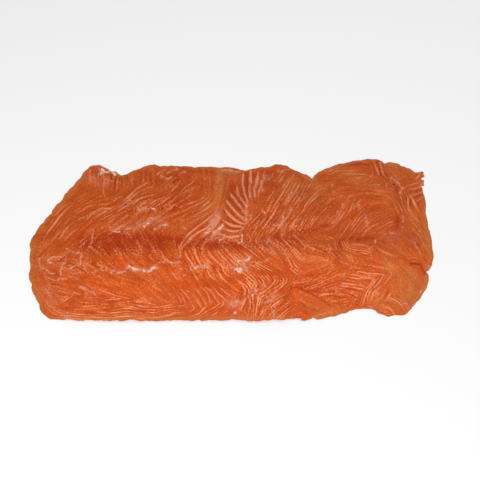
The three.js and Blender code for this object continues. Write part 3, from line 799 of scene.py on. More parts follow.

# Where the flesh is darker or redder than the rest, and painted shade in creases and beside folds
DEEP_AND_FOLD_SHADE = (
    (0.9, 6, 92, 239, 120, 237, 150, 238, 180, 241),
    (0.75, 9, 84, 240, 120, 244, 160, 246),
    (0.6, 4.5, 178, 242, 205, 245, 230, 246, 250, 244),
    (0.75, 3.2, 250, 243, 270, 240, 290, 238, 302, 236),
    (0.7, 2.6, 290, 232, 306, 229, 326, 226, 332, 227),
    (0.5, 4, 296, 236, 302, 239),
    (0.7, 2.2, 336, 240, 346, 239, 350, 238),
    (0.8, 2.4, 356, 239, 361, 239),
    (0.6, 2.4, 366, 240, 376, 240),
    (0.7, 4.5, 340, 243, 338, 252, 337, 259),
    (0.5, 5, 230, 180, 232, 190, 228, 204, 228, 216),
    (0.55, 6, 248, 176, 246, 190, 240, 204, 234, 218),
    (0.4, 4.5, 262, 172, 274, 174, 286, 174),
    (0.5, 3, 266, 183, 274, 184, 280, 181),
    (1, 1.4, 172, 182.5, 176, 182, 181, 181),
    (0.5, 3.5, 177, 200, 178, 207, 177, 213),
    (0.35, 3, 158, 181, 170, 176, 190, 177),
    (0.6, 1.2, 112, 175, 112, 186),
    (0.7, 1.4, 117, 176, 118, 188),
    (0.7, 1.4, 121, 177, 121, 187),
    (0.5, 2.5, 96, 167, 102, 168),
    # Painted shade in creases and notches near the back edge of the long slice
    (0.5, 2.2, 100, 297, 107, 301, 112, 305),
    (0.8, 1.5, 94, 298.3, 95.5, 299),
    (0.8, 1.5, 98, 302, 99.4, 302.5),
    (0.9, 1.4, 112, 301, 114, 301),
    (0.8, 1.7, 131, 300, 138, 305, 145, 310),
    (0.45, 2, 76, 293, 80, 295),
    # Painted shadow of the fold on the back flap
    (0.45, 4, 301, 307, 306, 311),
    (0.4, 5, 364, 198, 378, 200),
    (0.35, 5, 366, 208, 378, 209),
    (0.5, 4.5, 403, 199, 408, 206),
    (0.4, 3, 419, 192, 423, 200),
    # Painted shade beside the fold at the wide end
    (0.5, 2.6, 410, 236, 415, 241, 418, 245),
    (0.35, 3, 308, 276, 316, 278),
    (0.4, 5, 238, 270, 225, 290, 228, 293),
    (0.4, 7, 240, 298, 250, 304, 258, 308),
    (0.26, 7, 272, 276, 278, 290, 286, 300),
    (0.16, 10, 310, 286, 324, 290, 336, 292),
    (0.16, 6, 378, 300, 390, 304, 400, 308),
    (0.25, 5, 186, 282, 196, 284, 214, 283),
    (0.14, 12, 184, 300, 206, 304, 228, 300),
    (0.18, 13, 340, 220, 356, 218, 372, 216),
    (0.3, 4, 60, 276, 48, 274, 36, 274),
    (0.4, 3, 41, 309, 44, 313),
    (0.35, 5, 382, 240, 390, 236),
    (0.8, 1.3, 276, 168, 284, 166.5, 291, 168.5),
    (1, 1.5, 376.5, 162.7, 380, 163.2),
    (0.8, 1.1, 379.5, 168, 380, 173),
    (0.7, 1.1, 385.5, 166.5, 388.5, 172),
    (0.5, 1.6, 340, 164.7, 356, 164.4, 368, 164),
    (0.8, 1.6, 305, 226.5, 312, 226.5),
    (0.7, 1.1, 298, 230, 303, 230),
    (0.8, 1.2, 290, 232, 293, 232),
    (0.9, 1.3, 269, 227, 270, 226),
    (0.9, 1.3, 260.5, 237, 261, 238),
    (0.8, 1.2, 277, 234, 278, 235),
    (0.9, 1.5, 252.5, 243, 254, 243),
    (0.9, 1.3, 420, 183, 421, 184),
    (0.8, 1.4, 416.5, 190, 418, 191),
    (0.9, 1.3, 420, 194, 422, 195),
    (0.7, 2.2, 395, 187, 396, 192),
    (0.8, 1.2, 404.7, 196, 405.2, 203),
    (0.8, 1.2, 410, 199, 410.2, 206),
    # Painted shadow of the raised fold at the wide end
    (0.85, 3, 396.5, 220, 397, 225, 394, 229, 389, 231),
    (0.9, 1.3, 340.5, 244.5, 341, 248.5),
    (0.8, 1.2, 334.5, 249, 334.5, 253),
    (0.8, 1.4, 338, 258, 339, 260),
    (0.9, 1.3, 359, 239, 361.5, 239),
    (0.7, 1.3, 356, 237, 358, 238),
    # Painted shade along a crease, and beside the fold, at the wide end
    (1, 1.2, 413, 264.5, 419, 265, 422.5, 269, 426.5, 274),
    (0.7, 2.6, 412, 238, 416, 243, 418, 247),
    (0.8, 1.2, 170, 317, 178, 317),
    (0.7, 1.1, 181, 317.3, 192, 317.3),
    (0.8, 1.2, 202, 317.3, 212, 317.3),
    (0.7, 1.2, 296, 317.5, 303, 317.5),
    (0.9, 1, 233.5, 311.5, 232.5, 312.5),
    (0.9, 1, 271.5, 310, 273, 310.3),
    (0.6, 1.5, 379, 312, 383, 313.5),
)

# Where the flesh is a clear bright orange
VIVID = (
    (0.5, 3.0, 421, 246, 424, 251, 427, 257),
    (1.0, 8, 300, 256, 312, 260, 322, 260, 333, 264),
    (0.6, 3, 376, 192, 380, 193.5),
    (0.5, 5, 190, 256, 206, 258),
    (0.35, 7, 186, 290, 200, 296, 206, 304),
    (0.5, 4, 228, 272, 240, 276, 246, 281),
    (0.7, 5, 344, 262, 356, 266),
    (0.4, 4, 262, 247, 276, 262),
    (0.6, 2.2, 374, 309, 380, 311.5, 386, 314),
    (0.3, 7, 300, 298, 316, 306, 330, 308),
    (0.75, 12, 190, 258, 220, 264, 236, 280, 204, 276),
    (0.45, 12, 104, 288, 130, 288, 156, 294),
    (0.75, 9, 168, 262, 184, 278, 200, 282),
    (0.45, 6, 120, 258, 140, 256, 160, 256),
)

# Where the flesh is paler and more tan than the rest
PALE = (
    (0.8, 9.0, 222, 176, 218, 190, 214, 204),
    (0.5, 8.0, 286, 178, 298, 184, 304, 192),
    (0.5, 6.0, 278, 188, 288, 192),
    (0.6, 5.0, 317, 184, 322, 190),
    (0.55, 4.0, 40, 228, 60, 204, 80, 184),
    (1.0, 10.0, 410, 274, 414, 288, 406, 298),
    (0.9, 8.0, 390, 262, 398, 278, 402, 292),
    (0.5, 5.0, 382, 251, 396, 259, 408, 268),
    (0.5, 7.0, 414, 216, 424, 232, 426, 250),
    (0.4, 6.0, 404, 250, 412, 256),
    (0.35, 6.0, 390, 168, 404, 172, 412, 176),
    (0.4, 9.0, 40, 250, 44, 270, 48, 286, 56, 300),
    (0.5, 8.0, 332, 170, 350, 176, 372, 188),
    (0.45, 7.0, 304, 258, 326, 263),
    (0.3, 7.0, 302, 300, 318, 306, 330, 310),
    (0.4, 6.0, 384, 194, 388, 200),
    (0.6, 8.0, 376, 299, 388, 303, 400, 306),
    (0.45, 7.0, 338, 254, 352, 262, 368, 266),
    (0.3, 9.0, 398, 196, 408, 214, 414, 236),
    (0.1, 12.0, 70, 262, 110, 276, 150, 276),
    (0.45, 5.0, 306, 303, 320, 308, 336, 310),
)

# Thin rims through which the light floor shows tan
THIN = (
    (0.55, 1.1, 33, 234, 44, 221, 58, 204, 72, 188, 84, 174, 90, 166),
    (0.5, 1.3, 120, 174, 132, 172, 146, 167, 160, 166),
    (0.45, 1.0, 240, 172, 256, 170, 270, 167),
    (0.7, 1.3, 296, 170, 304, 175, 311, 181),
    (0.75, 2.0, 313, 179, 318, 173, 328, 168, 338, 163),
    (0.35, 1.6, 312, 184, 318, 184, 326, 188),
    (0.85, 1.2, 338, 162, 350, 160, 366, 158.5, 381, 158.5),
    (0.75, 2.0, 386, 164, 396, 165, 404, 167, 412, 171),
    (0.6, 1.6, 423, 196, 424, 210, 427, 224, 429, 236, 431, 250),
    (0.55, 3.0, 424, 234, 426, 246),
    (0.8, 1.8, 428, 262, 427, 266),
    (0.85, 1.5, 426, 276, 425, 286, 420, 294, 413, 303, 408, 312),
    (0.5, 2.2, 430, 246, 430, 258, 427, 270),
    (0.85, 1.4, 346, 309, 338, 312, 326, 315, 312, 317),
    (0.5, 1.6, 372, 306, 378, 311, 384, 314),
    (0.6, 3.0, 64, 318, 100, 319, 150, 318.6, 210, 318.6, 290, 318),
    (0.6, 2.4, 32, 238, 31, 252, 31, 266, 32, 280),
    (0.7, 1.4, 34, 284, 39, 297, 42, 308, 47, 314),
    (0.5, 1.5, 32, 262, 36, 268),
)

# Where the surface is rough, and the marbling broken into fine crumbs
GRAIN = (
    (1.0, 8, 182, 246, 210, 243, 240, 240, 262, 242),
    (0.8, 9, 262, 244, 290, 248, 320, 250, 330, 262),
    (0.95, 11, 132, 206, 152, 206, 178, 203),
    (0.85, 8, 104, 228, 130, 226, 162, 224),
    (0.9, 8, 84, 244, 120, 252, 154, 252),
    (0.6, 10, 40, 246, 46, 268, 50, 288),
    (0.5, 8, 338, 254, 352, 262, 368, 266),
    (0.9, 8, 60, 262, 84, 266, 108, 268),
    (0.9, 9, 170, 262, 200, 266, 230, 268, 250, 264),
    (0.9, 12, 248, 286, 262, 296, 268, 306),
    (0.8, 8, 302, 284, 320, 290, 338, 296),
    (0.6, 8, 264, 176, 280, 180, 262, 196),
    (0.9, 10, 256, 222, 280, 224, 300, 226),
    (0.6, 11, 268, 206, 284, 200, 298, 194),
    (0.5, 7, 330, 186, 336, 202, 330, 218),
    (0.35, 5, 58, 308, 100, 305, 150, 312),
    (0.5, 6, 388, 178, 400, 196, 414, 200),
    (0.7, 5, 94, 178, 108, 180, 122, 184),
    (0.5, 7, 130, 178, 150, 176, 180, 174),
    (0.5, 6, 342, 288, 360, 296, 376, 298),
    (0.45, 12, 96, 280, 130, 282, 162, 284),
    (0.4, 7, 150, 180, 175, 186, 200, 184),
)

# Dark specks, and painted shade at the bottoms of creases
SPECKS_AND_CREASE_SHADE = (
    (0.9, 0.8, 131.2, 264.8, 131.4, 265.2),
    (0.7, 0.7, 64.2, 257, 64.4, 257.4),
    (0.6, 0.7, 89.4, 290, 89.6, 290.4),
    (1.0, 0.8, 161.8, 208.5, 162.6, 208.5),
    (0.9, 0.9, 393, 184, 394, 184.4),
    (0.7, 0.7, 224.4, 211, 224.6, 213),
    (0.7, 0.8, 209.6, 239, 210.6, 239),
    (0.5, 0.7, 152.4, 183, 152.6, 183.6),
    (0.4, 1.2, 126, 204, 129, 205),
    (0.5, 0.9, 242.6, 225.4, 243.2, 226.2),
    (0.5, 0.8, 51, 308.5, 52, 309.5),
    (0.4, 1.0, 179, 259, 179.6, 260),
)

# Folds that stand up and creases that sink in, with a height in millimetres for a strength
FOLDS = (
    (0.9, 4.0, 384, 229, 391, 224, 396, 219),
    (-0.8, 2.2, 399, 226, 401, 219, 400, 213),
    (0.5, 3.0, 362, 198, 376, 200, 386, 196),
    (-0.4, 2.0, 362, 203, 374, 205, 384, 203),
    (-0.5, 1.6, 131, 300, 138, 305, 145, 310),
    (-0.4, 1.8, 100, 297, 107, 301, 112, 305),
    (-0.4, 1.4, 172, 182, 181, 181.5),
    (-0.5, 1.5, 248, 198, 246.5, 210, 245, 223),
    (0.4, 3.0, 404, 238, 412, 246, 418, 254),
    (-0.4, 2.0, 409, 236, 416, 243),
    (0.4, 2.4, 368, 176, 380, 176, 392, 181, 401, 187),
    (0.35, 2.2, 374, 245, 390, 256, 402, 266),
    (-0.3, 2.6, 290, 231, 306, 228, 328, 226),
)

# Where a cut edge swells out or is nicked, with pixels outward for a strength
EDGES = (
    (1.0, 4, 36, 232, 40, 226),
    (1.8, 3, 46, 218, 49, 214),
    (1.6, 4, 31, 244, 33, 236),
    (3.4, 4.5, 53, 209, 65, 195),
    (1.6, 5, 68, 193, 76, 184),
    (-2.2, 3, 104, 169, 110, 171),
    (0.8, 3, 113, 173, 116, 174),
    (1.6, 4, 30, 276, 30, 283),
    (3.2, 5, 33, 288, 36, 300, 41, 310, 50, 317),
    (2.0, 6, 132, 172, 146, 168, 155, 167),
    (1.0, 5, 160, 167, 166, 167),
    (2.0, 6, 172, 168, 190, 169, 240, 171),
    (2.0, 6, 250, 171, 258, 169),
    (0.6, 5, 264, 168, 268, 167),
    (2.0, 6, 276, 167, 302, 176),
    (1.4, 5, 352, 161, 366, 160),
    (2.4, 6, 304, 177, 312, 180, 320, 175, 345, 164),
    (2.6, 4, 392, 163, 398, 165),
    (1.6, 4, 402, 167, 412, 171),
    (1.6, 5, 304, 319, 311, 318),
    (3.2, 5, 318, 316, 336, 311, 344, 309),
    (1.2, 5, 350, 309, 372, 309),
    (1.7, 4, 380, 312, 387, 315),
    (0.6, 5, 424, 200, 426, 216),
    (1.3, 4, 431, 260, 430, 268),
    (-1.4, 5, 118, 320, 152, 320),
    (-0.5, 5, 160, 320, 190, 320),
    (-1.4, 5, 200, 320, 208, 320),
    (-0.6, 5, 214, 320, 232, 320),
    (-1.4, 4, 274, 319, 279, 319),
    (-1.2, 4, 296, 319, 303, 319),
    (0.5, 4, 424, 288, 426, 280),
    (1.0, 1.0, 423.5, 170, 424, 171),
    (-4.2, 1.5, 419, 179, 425, 178.5),
    (-1.4, 1.0, 423, 175, 425, 174),
    (-2.6, 1.3, 422, 187, 425, 187),
    (-1.6, 1.3, 425, 182, 426, 184),
)

# Where a slice, which is named first, runs on under its neighbours further than its solid does, in pixels
TONGUES = (
    (BROAD, 8.0, 5, 295, 279, 299, 284, 302, 289),
)

# Where a slice's rim comes down over the end of a slice below it, in millimetres
DROPS = (
    (STRIPED, 1.1, 4.5, 292.5, 283.5, 294.7, 277, 297.6, 270.7, 298.8, 268.5),
    (STRIPED, 0.55, 4.5, 300.2, 266.6, 300.9, 263.5),
    (BROAD, 1.1, 4.5, 382, 239.5, 386.7, 235.1, 392.9, 233, 396.6, 230.7),
    (BROAD, 0.6, 4.5, 398, 229.5, 400, 226.5),
)


def size_property(name, description, default):
    """A length that a user may change."""
    return FloatProperty(name=name, description=description, default=default, unit="LENGTH")


def light_property(name, description, default):
    """The power of a light that a user may change."""
    return FloatProperty(name=name, description=description, default=default, unit="POWER")


def colour_property(name, description, default):
    """A colour that a user may change."""
    return FloatVectorProperty(
        name=name, description=description, subtype="COLOR", default=default, min=0, max=1
    )


class SalmonSizes(bpy.types.PropertyGroup):
    """How finely the slices are meshed, and how high their relief stands"""

    mesh_step: size_property("Mesh step", "Distance between the points of a slice's top", 0.665 * MM)
    hidden_step: size_property("Hidden step", "Distance between the points of an underside", 4 * MM)
    rim_width: size_property("Rim width", "Band in which a cut edge rounds off", 2.2 * MM)
    rim_wander: size_property("Rim wander", "How far a cut edge strays from its smooth line", 0.45 * MM)
    fat_height: size_property("Fat height", "How far the fat lines stand out of the flesh", 0.1 * MM)
    swell_height: size_property("Swell height", "Height of the small swells of the surface", 0.16 * MM)


class SalmonColours(bpy.types.PropertyGroup):
    """The colours of the flesh, the fat and the thin rims, some of which also paint shade and a highlight"""

    loin: colour_property("Loin", "Flesh on the back side of the lateral line", (0.565, 0.079, 0.0085))
    belly: colour_property("Belly", "Flesh on the belly side of the lateral line", (0.487, 0.077, 0.0085))
    # Also paints the shade in creases, beside folds and in small hollows
    deep_and_shade: colour_property("Deep", "Dark flesh along the lateral line", (0.35, 0.021, 0.002))
    pale: colour_property("Pale", "Pale tan flesh where a slice is thin", (0.54, 0.15, 0.035))
    vivid: colour_property("Vivid", "Clear bright orange flesh", (0.695, 0.099, 0.0085))
    fat: colour_property("Fat", "Fat lines on the back side of the lateral line", (0.86, 0.305, 0.127))
    dull_fat: colour_property(
        "Dull fat", "Fat lines on the belly side of the lateral line", (0.72, 0.275, 0.14)
    )
    veil: colour_property("Veil", "Thin lilac film round the connective tissue", (0.64, 0.23, 0.125))
    # Also paints the highlight on the folded corner
    tissue_and_highlight: colour_property("Tissue", "White connective tissue", (0.86, 0.52, 0.43))
    rim: colour_property("Rim", "Thin see-through rims and dried edges", (0.43, 0.165, 0.045))
    # Also paints the shade at the bottoms of creases
    speck_and_crease_shade: colour_property("Speck", "Blood specks and the bottoms of creases", (0.08, 0.012, 0.006))
    underside: colour_property("Underside", "Grey-brown fat where the skin came off", (0.36, 0.17, 0.1))


class SalmonStudio(bpy.types.PropertyGroup):
    """The floor and the lights"""

    floor: colour_property("Floor", "Colour of the floor", (0.88, 0.88, 0.88))
    key_power: light_property("Key light", "Power of the main light", 26)
    fill_power: light_property("Fill light", "Power of the second light", 7)
    sky: FloatProperty(name="Sky", description="Strength of the light from all round", default=0.42)


def travel(line):
    """How far along a line each of its points lies."""
    return np.concatenate([[0], np.cumsum(np.hypot(*np.diff(line, axis=0).T))])


def points_at(line, travelled, stops):
    """Points of a line at the given distances along it."""
    return np.column_stack([np.interp(stops, travelled, line[:, k]) for k in range(2)])


def smooth_path(points, spacing, count=None):
    """Evenly spaced points of a smooth open line through x and y pairs. A count replaces the spacing."""
    knots = np.reshape(points, (-1, 2)).astype(float)
    knots = np.array((2 * knots[0] - knots[1], *knots, 2 * knots[-1] - knots[-2]))
    share = np.linspace(0, 1, SPAN_PARTS, endpoint=False)[:, None]
    parts = []
    for a, b, c, d in zip(knots, knots[1:], knots[2:], knots[3:]):
        slope_b = (c - a) / 2
        slope_c = (d - b) / 2
        drop = b - c
        square = -3 * drop - 2 * slope_b - slope_c
        cube = 2 * drop + slope_b + slope_c
        parts.append(b + slope_b * share + square * share**2 + cube * share**3)
    line = np.vstack([*parts, knots[-2][None]])
    travelled = travel(line)
    if count is None:
        count = max(2, round(travelled[-1] / spacing) + 1)
    return points_at(line, travelled, np.linspace(0, travelled[-1], count))


def smooth_step(value, low=0.0, high=1.0):
    """Rises smoothly from 0 to 1 between two values."""
    share = np.clip((value - low) / (high - low), 0, 1)
    return share * share * (3 - 2 * share)


def picture_place(points):
    """Where points of the fillet, in metres, fall in the photograph, in its pixels."""
    x, y, z = (points - np.array(AIM)).T
    depth = CAMERA_DISTANCE + y * math.cos(CAMERA_ELEVATION) - z * math.sin(CAMERA_ELEVATION)
    rise = y * math.sin(CAMERA_ELEVATION) + z * math.cos(CAMERA_ELEVATION)
    return np.column_stack([
        IMAGE_SIDE / 2 + FOCAL_PIXELS * x / depth,
        IMAGE_SIDE / 2 - FOCAL_PIXELS * rise / depth,
    ])


def blurred(fields, reach):
    """Fields on a grid, blurred by a bell whose reach is in grid steps."""
    rows, columns = fields.shape[-2:]
    down = np.fft.fftfreq(rows)[:, None]
    across = np.fft.rfftfreq(columns)[None]
    falloff = np.exp(-2 * (math.pi * reach) ** 2 * (down**2 + across**2))
    return np.fft.irfft2(np.fft.rfft2(fields) * falloff, (rows, columns))


def sampled(fields, rows, columns):
    """Values of fields at places between the grid's points, by straight interpolation."""
    height, width = fields.shape[-2:]
    rows = np.clip(rows, 0, height - 1.001)
    columns = np.clip(columns, 0, width - 1.001)
    j = rows.astype(int)
    i = columns.astype(int)
    v = rows - j
    u = columns - i
    return (
        fields[..., j, i] * (1 - u) * (1 - v)
        + fields[..., j, i + 1] * u * (1 - v)
        + fields[..., j + 1, i] * (1 - u) * v
        + fields[..., j + 1, i + 1] * u * v
    )


def seeded(name):
    """A random source that depends only on a name."""
    return np.random.default_rng(sum((k + 1) * ord(letter) for k, letter in enumerate(name)))


class PictureNoise:
    """Unevenness over the whole picture, shared by the slices so that patterns run on across seams.

    Each pattern has a seed, which tells it from the others, and a reach, the size of its spots in pixels.
    """

    # The grid's step and first place in pixels, and its size in steps. It covers the fillet.
    STEP = 0.5
    LEFT, TOP = 16, 144
    COLUMNS, ROWS = 848, 368

    def __init__(self):
        self.kept = {}

    def field(self, seed, reach):
        """A pattern of unit spread over the whole grid."""
        if (seed, reach) not in self.kept:
            rough = np.random.default_rng(seed).normal(size=(self.ROWS, self.COLUMNS))
            rough = blurred(rough, reach / self.STEP)
            self.kept[seed, reach] = rough / rough.std()
        return self.kept[seed, reach]

    def cells(self, places):
        """Row and column of places on the grid, with fractions."""
        return (places[:, 1] - self.TOP) / self.STEP, (places[:, 0] - self.LEFT) / self.STEP

    def at(self, places, seed, reach):
        """A pattern's values at places of the picture."""
        return sampled(self.field(seed, reach), *self.cells(places))

    def wandered(self, places, seed, reach, distance):
        """Places moved about by a smooth random shift, so that drawn lines waver."""
        shift = [self.at(places, seed + k, reach) for k in range(2)]
        return places + distance * np.column_stack(shift)


noise = PictureNoise()


def drawn_lines(sheaf):
    """Every line of a sheaf, guides and those between, as rows of points."""
    longest = max(len(smooth_path(guide, noise.STEP)) for guide in sheaf.guides)
    guides = [smooth_path(guide, noise.STEP, longest) for guide in sheaf.guides]
    lines = []
    for a, b, gap in zip(guides, guides[1:], sheaf.gaps):
        lines += [a + (b - a) * k / gap for k in range(gap)]
    return np.array([*lines, guides[-1]])


class Marbling:
    """The fine fat lines of one slice, grown on a grid over the photograph. Lengths are in pixels."""

    # The grid's step, and how far it runs on round the slice
    STEP = noise.STEP
    MARGIN = 8

    # Strength of the lines far from every sheaf
    BACKGROUND = 0.14

    # How far the sheaves lead the flow round them, and how much each reach weighs
    REACHES = ((1.4, 1.0), (3.5, 0.12), (9, 0.008), (26, 0.0005))

    # The distance between lines: what a sheaf may ask for, and what is grown
    ASKED = (2.2, 11)
    GROWN = (2.3, 9)

    # The filters that grow the lines: their wavelengths, the number of their headings, how far each spreads
    # round its heading in radians and round its wavelength as a share of it, and how often they are run
    WAVELENGTHS = np.geomspace(2.3, 9.5, 7)
    HEADINGS = 16
    FAN = 0.22
    RING = 0.36
    PASSES = 6

    # Steps from one crest of an anchor to the next, and how much more a bright line weighs than a guide
    PHASES = 18
    BRIGHT_WEIGHT = 5

    def __init__(self, name, places):
        row, column = noise.cells(places)
        margin = self.MARGIN / self.STEP
        self.top = max(0, int(row.min() - margin))
        self.left = max(0, int(column.min() - margin))
        self.rows = min(noise.ROWS - self.top, int(row.max() + margin) - self.top) // 2 * 2
        self.columns = min(noise.COLUMNS - self.left, int(column.max() + margin) - self.left) // 2 * 2
        self.sheaves = [sheaf for sheaf in MARBLING if name in sheaf.slices]
        self.find_flow()
        self.set_anchors()
        self.grow()
        self.streaks = self.smeared(self.part_of(noise.field(50, 0.45)), 7)
        self.fading = self.smeared(self.part_of(noise.field(51, 0.9)), 20)

    def part_of(self, field):
        """The part of a pattern of the whole picture that lies on this grid."""
        return field[self.top : self.top + self.rows, self.left : self.left + self.columns]

    def cells(self, places):
        """Row and column of places on this grid, with fractions."""
        row, column = noise.cells(places)
        return row - self.top, column - self.left

    def deposit(self, places, values):
        """Sums of values over the cells that the places fall in."""
        row, column = (np.round(part).astype(int) for part in self.cells(places))
        inside = (column >= 0) & (column < self.columns) & (row >= 0) & (row < self.rows)
        cells = row[inside] * self.columns + column[inside]
        size = self.rows * self.columns
        sums = [np.bincount(cells, value[inside], size) for value in values]
        return np.array(sums).reshape(len(values), self.rows, self.columns)

    def find_flow(self):
        """The lines' direction, spacing and strength everywhere, led by the nearest sheaves."""
        total = np.zeros((5, self.rows, self.columns))
        for sheaf in self.sheaves:
            lines = drawn_lines(sheaf)
            along = np.gradient(lines, axis=1)
            heading = np.arctan2(along[..., 1], along[..., 0])
            across = np.diff(lines, axis=0)
            widths = np.abs(across[..., 0] * np.sin(heading[:-1]) - across[..., 1] * np.cos(heading[:-1]))
            widths = np.clip(widths, *self.ASKED)
            beside = np.concatenate([widths[:1], (widths[1:] + widths[:-1]) / 2, widths[-1:]])
            twice = 2 * heading.ravel()
            ones = np.ones(len(twice))
            values = (ones, np.cos(twice), np.sin(twice), np.log(beside).ravel(), sheaf.strength * ones)
            total += self.deposit(lines.reshape(-1, 2), values)
        for _, _, *points in BRIGHT:
            line = smooth_path(points, self.STEP)
            step = np.gradient(line, axis=0)
            twice = 2 * np.arctan2(step[:, 1], step[:, 0])
            total[1:3] += 2 * self.deposit(line, (np.cos(twice), np.sin(twice)))
        mixed = 1e-12 + sum(share * blurred(total, reach / self.STEP) for reach, share in self.REACHES)
        weight = np.maximum(mixed[0], 1e-12)
        self.heading = np.arctan2(mixed[2], mixed[1]) / 2
        self.spacing = np.exp(np.clip(mixed[3] / weight, *map(math.log, self.GROWN)))
        near = smooth_step(blurred(total[0], 3.2 / self.STEP), 0.02, 0.14)
        strength = np.clip(mixed[4] / weight, 0, 1)
        self.strength = self.BACKGROUND + (strength - self.BACKGROUND) * near

    def set_anchors(self):
        """Waves that crest on the sheaves' own lines, with a small wander, and on the bright ones."""
        sums = np.zeros((2, self.rows, self.columns))
        for sheaf in self.sheaves:
            lines = drawn_lines(sheaf)
            for k in range(self.PHASES):
                part = (lines[:-1] + (lines[1:] - lines[:-1]) * k / self.PHASES).reshape(-1, 2)
                moved = noise.wandered(part, 60, 4.5, 0.5)
                crest = np.full(len(part), math.cos(2 * math.pi * k / self.PHASES))
                sums += self.deposit(moved, (np.ones(len(part)), crest))
        for _, _, *points in BRIGHT:
            line = smooth_path(points, 0.8 * self.STEP)
            step = np.gradient(line, axis=0)
            step /= np.maximum(np.hypot(*step.T), 1e-6)[:, None]
            beside = np.column_stack([-step[:, 1], step[:, 0]])
            spacing = sampled(self.spacing, *self.cells(line))
            for k in range(1 - self.PHASES // 2, self.PHASES // 2):
                weight = self.BRIGHT_WEIGHT * math.cos(math.pi * k / self.PHASES) ** 2
                crest = np.full(len(line), weight * math.cos(2 * math.pi * k / self.PHASES))
                moved = line + beside * (spacing * k / self.PHASES)[:, None]
                sums += self.deposit(moved, (np.full(len(line), weight), crest))
        sums = blurred(sums, 0.45 / self.STEP)
        self.held = smooth_step(sums[0], 0.1, 0.7)
        self.anchor = sums[1] / np.maximum(sums[0], 1e-6)

    def grow(self):
        """Stripes that follow the flow and join the anchors, with forks where they don't fit."""
        down = np.fft.fftfreq(self.rows)[:, None] / self.STEP
        across = np.fft.rfftfreq(self.columns)[None] / self.STEP
        pitch = np.hypot(down, across)
        bearing = np.arctan2(down, across)
        turns = (self.heading / math.pi + 0.5) * self.HEADINGS % self.HEADINGS
        scale = np.interp(np.log(self.spacing), np.log(self.WAVELENGTHS), np.arange(len(self.WAVELENGTHS)))
        filters = []
        for k in range(self.HEADINGS):
            turned = np.abs((turns - k + self.HEADINGS / 2) % self.HEADINGS - self.HEADINGS / 2)
            off = (bearing - math.pi * k / self.HEADINGS + math.pi / 2) % math.pi - math.pi / 2
            fan = np.exp(-((off / self.FAN) ** 2) / 2)
            for m, length in enumerate(self.WAVELENGTHS):
                share = np.maximum(0, 1 - turned) * np.maximum(0, 1 - np.abs(scale - m))
                if share.max() > 0:
                    ring = np.exp(-(((pitch * length - 1) / self.RING) ** 2) / 2)
                    filters.append((share, fan * ring))
        stripes = self.part_of(noise.field(70, 0.3)).copy()
        stripes += (self.anchor * 2 - stripes) * self.held
        for turn in range(self.PASSES):
            spectrum = np.fft.rfft2(stripes)
            grown = np.zeros_like(stripes)
            for share, shape in filters:
                grown += share * np.fft.irfft2(spectrum * shape, stripes.shape)
            height = np.sqrt(blurred(grown**2, 5 / self.STEP)) + 1e-9
            stripes = np.tanh(1.3 * grown / height)
            stripes += (self.anchor - stripes) * self.held * (0.7 if turn < self.PASSES - 1 else 0.3)
        self.stripes = stripes

    def smeared(self, rough, length):
        """Noise drawn out along the flow into streaks of the given length in pixels, with unit spread."""
        heading = np.stack([np.cos(self.heading), np.sin(self.heading)])
        total = rough.copy()
        for sense in (1, -1):
            column, row = np.meshgrid(np.arange(self.columns, dtype=float), np.arange(self.rows, dtype=float))
            step = sense * heading
            for k in range(length):
                column = np.clip(column + step[0] / self.STEP, 0, self.columns - 1)
                row = np.clip(row + step[1] / self.STEP, 0, self.rows - 1)
                i, j = (column + 0.5).astype(int), (row + 0.5).astype(int)
                i, j = np.minimum(i, self.columns - 1), np.minimum(j, self.rows - 1)
                total += rough[j, i] * (1 - k / length) ** 0.5
                ahead = heading[:, j, i]
                step = ahead * np.where((ahead * step).sum(0) < 0, -1, 1)
        return (total - total.mean()) / total.std()

    def at(self, places):
        """Stripes, their strength, how they fade along themselves, fine streaks and the stripes' spacing."""
        fields = np.array([self.stripes, self.strength, self.fading, self.streaks, self.spacing])
        return sampled(fields, *self.cells(places))


def along_strokes(places, strokes, soft=1.0):
    """How strongly each place lies on a set of strokes. With a lower soft they have softer edges."""
    value = np.zeros(len(places))
    for strength, width, *points in strokes:
        path = smooth_path(points, STROKE_STEP)
        reach = STROKE_REACH * width + STROKE_MARGIN
        near = np.flatnonzero(np.all((places > path.min(0) - reach) & (places < path.max(0) + reach), axis=1))
        if not len(near):
            continue
        start = path[:-1]
        step = path[1:] - start
        away = places[near][:, None] - start
        share = np.clip((away * step).sum(2) / np.maximum((step**2).sum(1), 1e-9), 0, 1)
        distance = np.sqrt(((away - share[..., None] * step) ** 2).sum(2).min(1))
        level = strength * np.exp(-((distance / width) ** (2 * soft)))
        stronger = np.abs(level) > np.abs(value[near])
        value[near] = np.where(stronger, level, value[near])
    return value


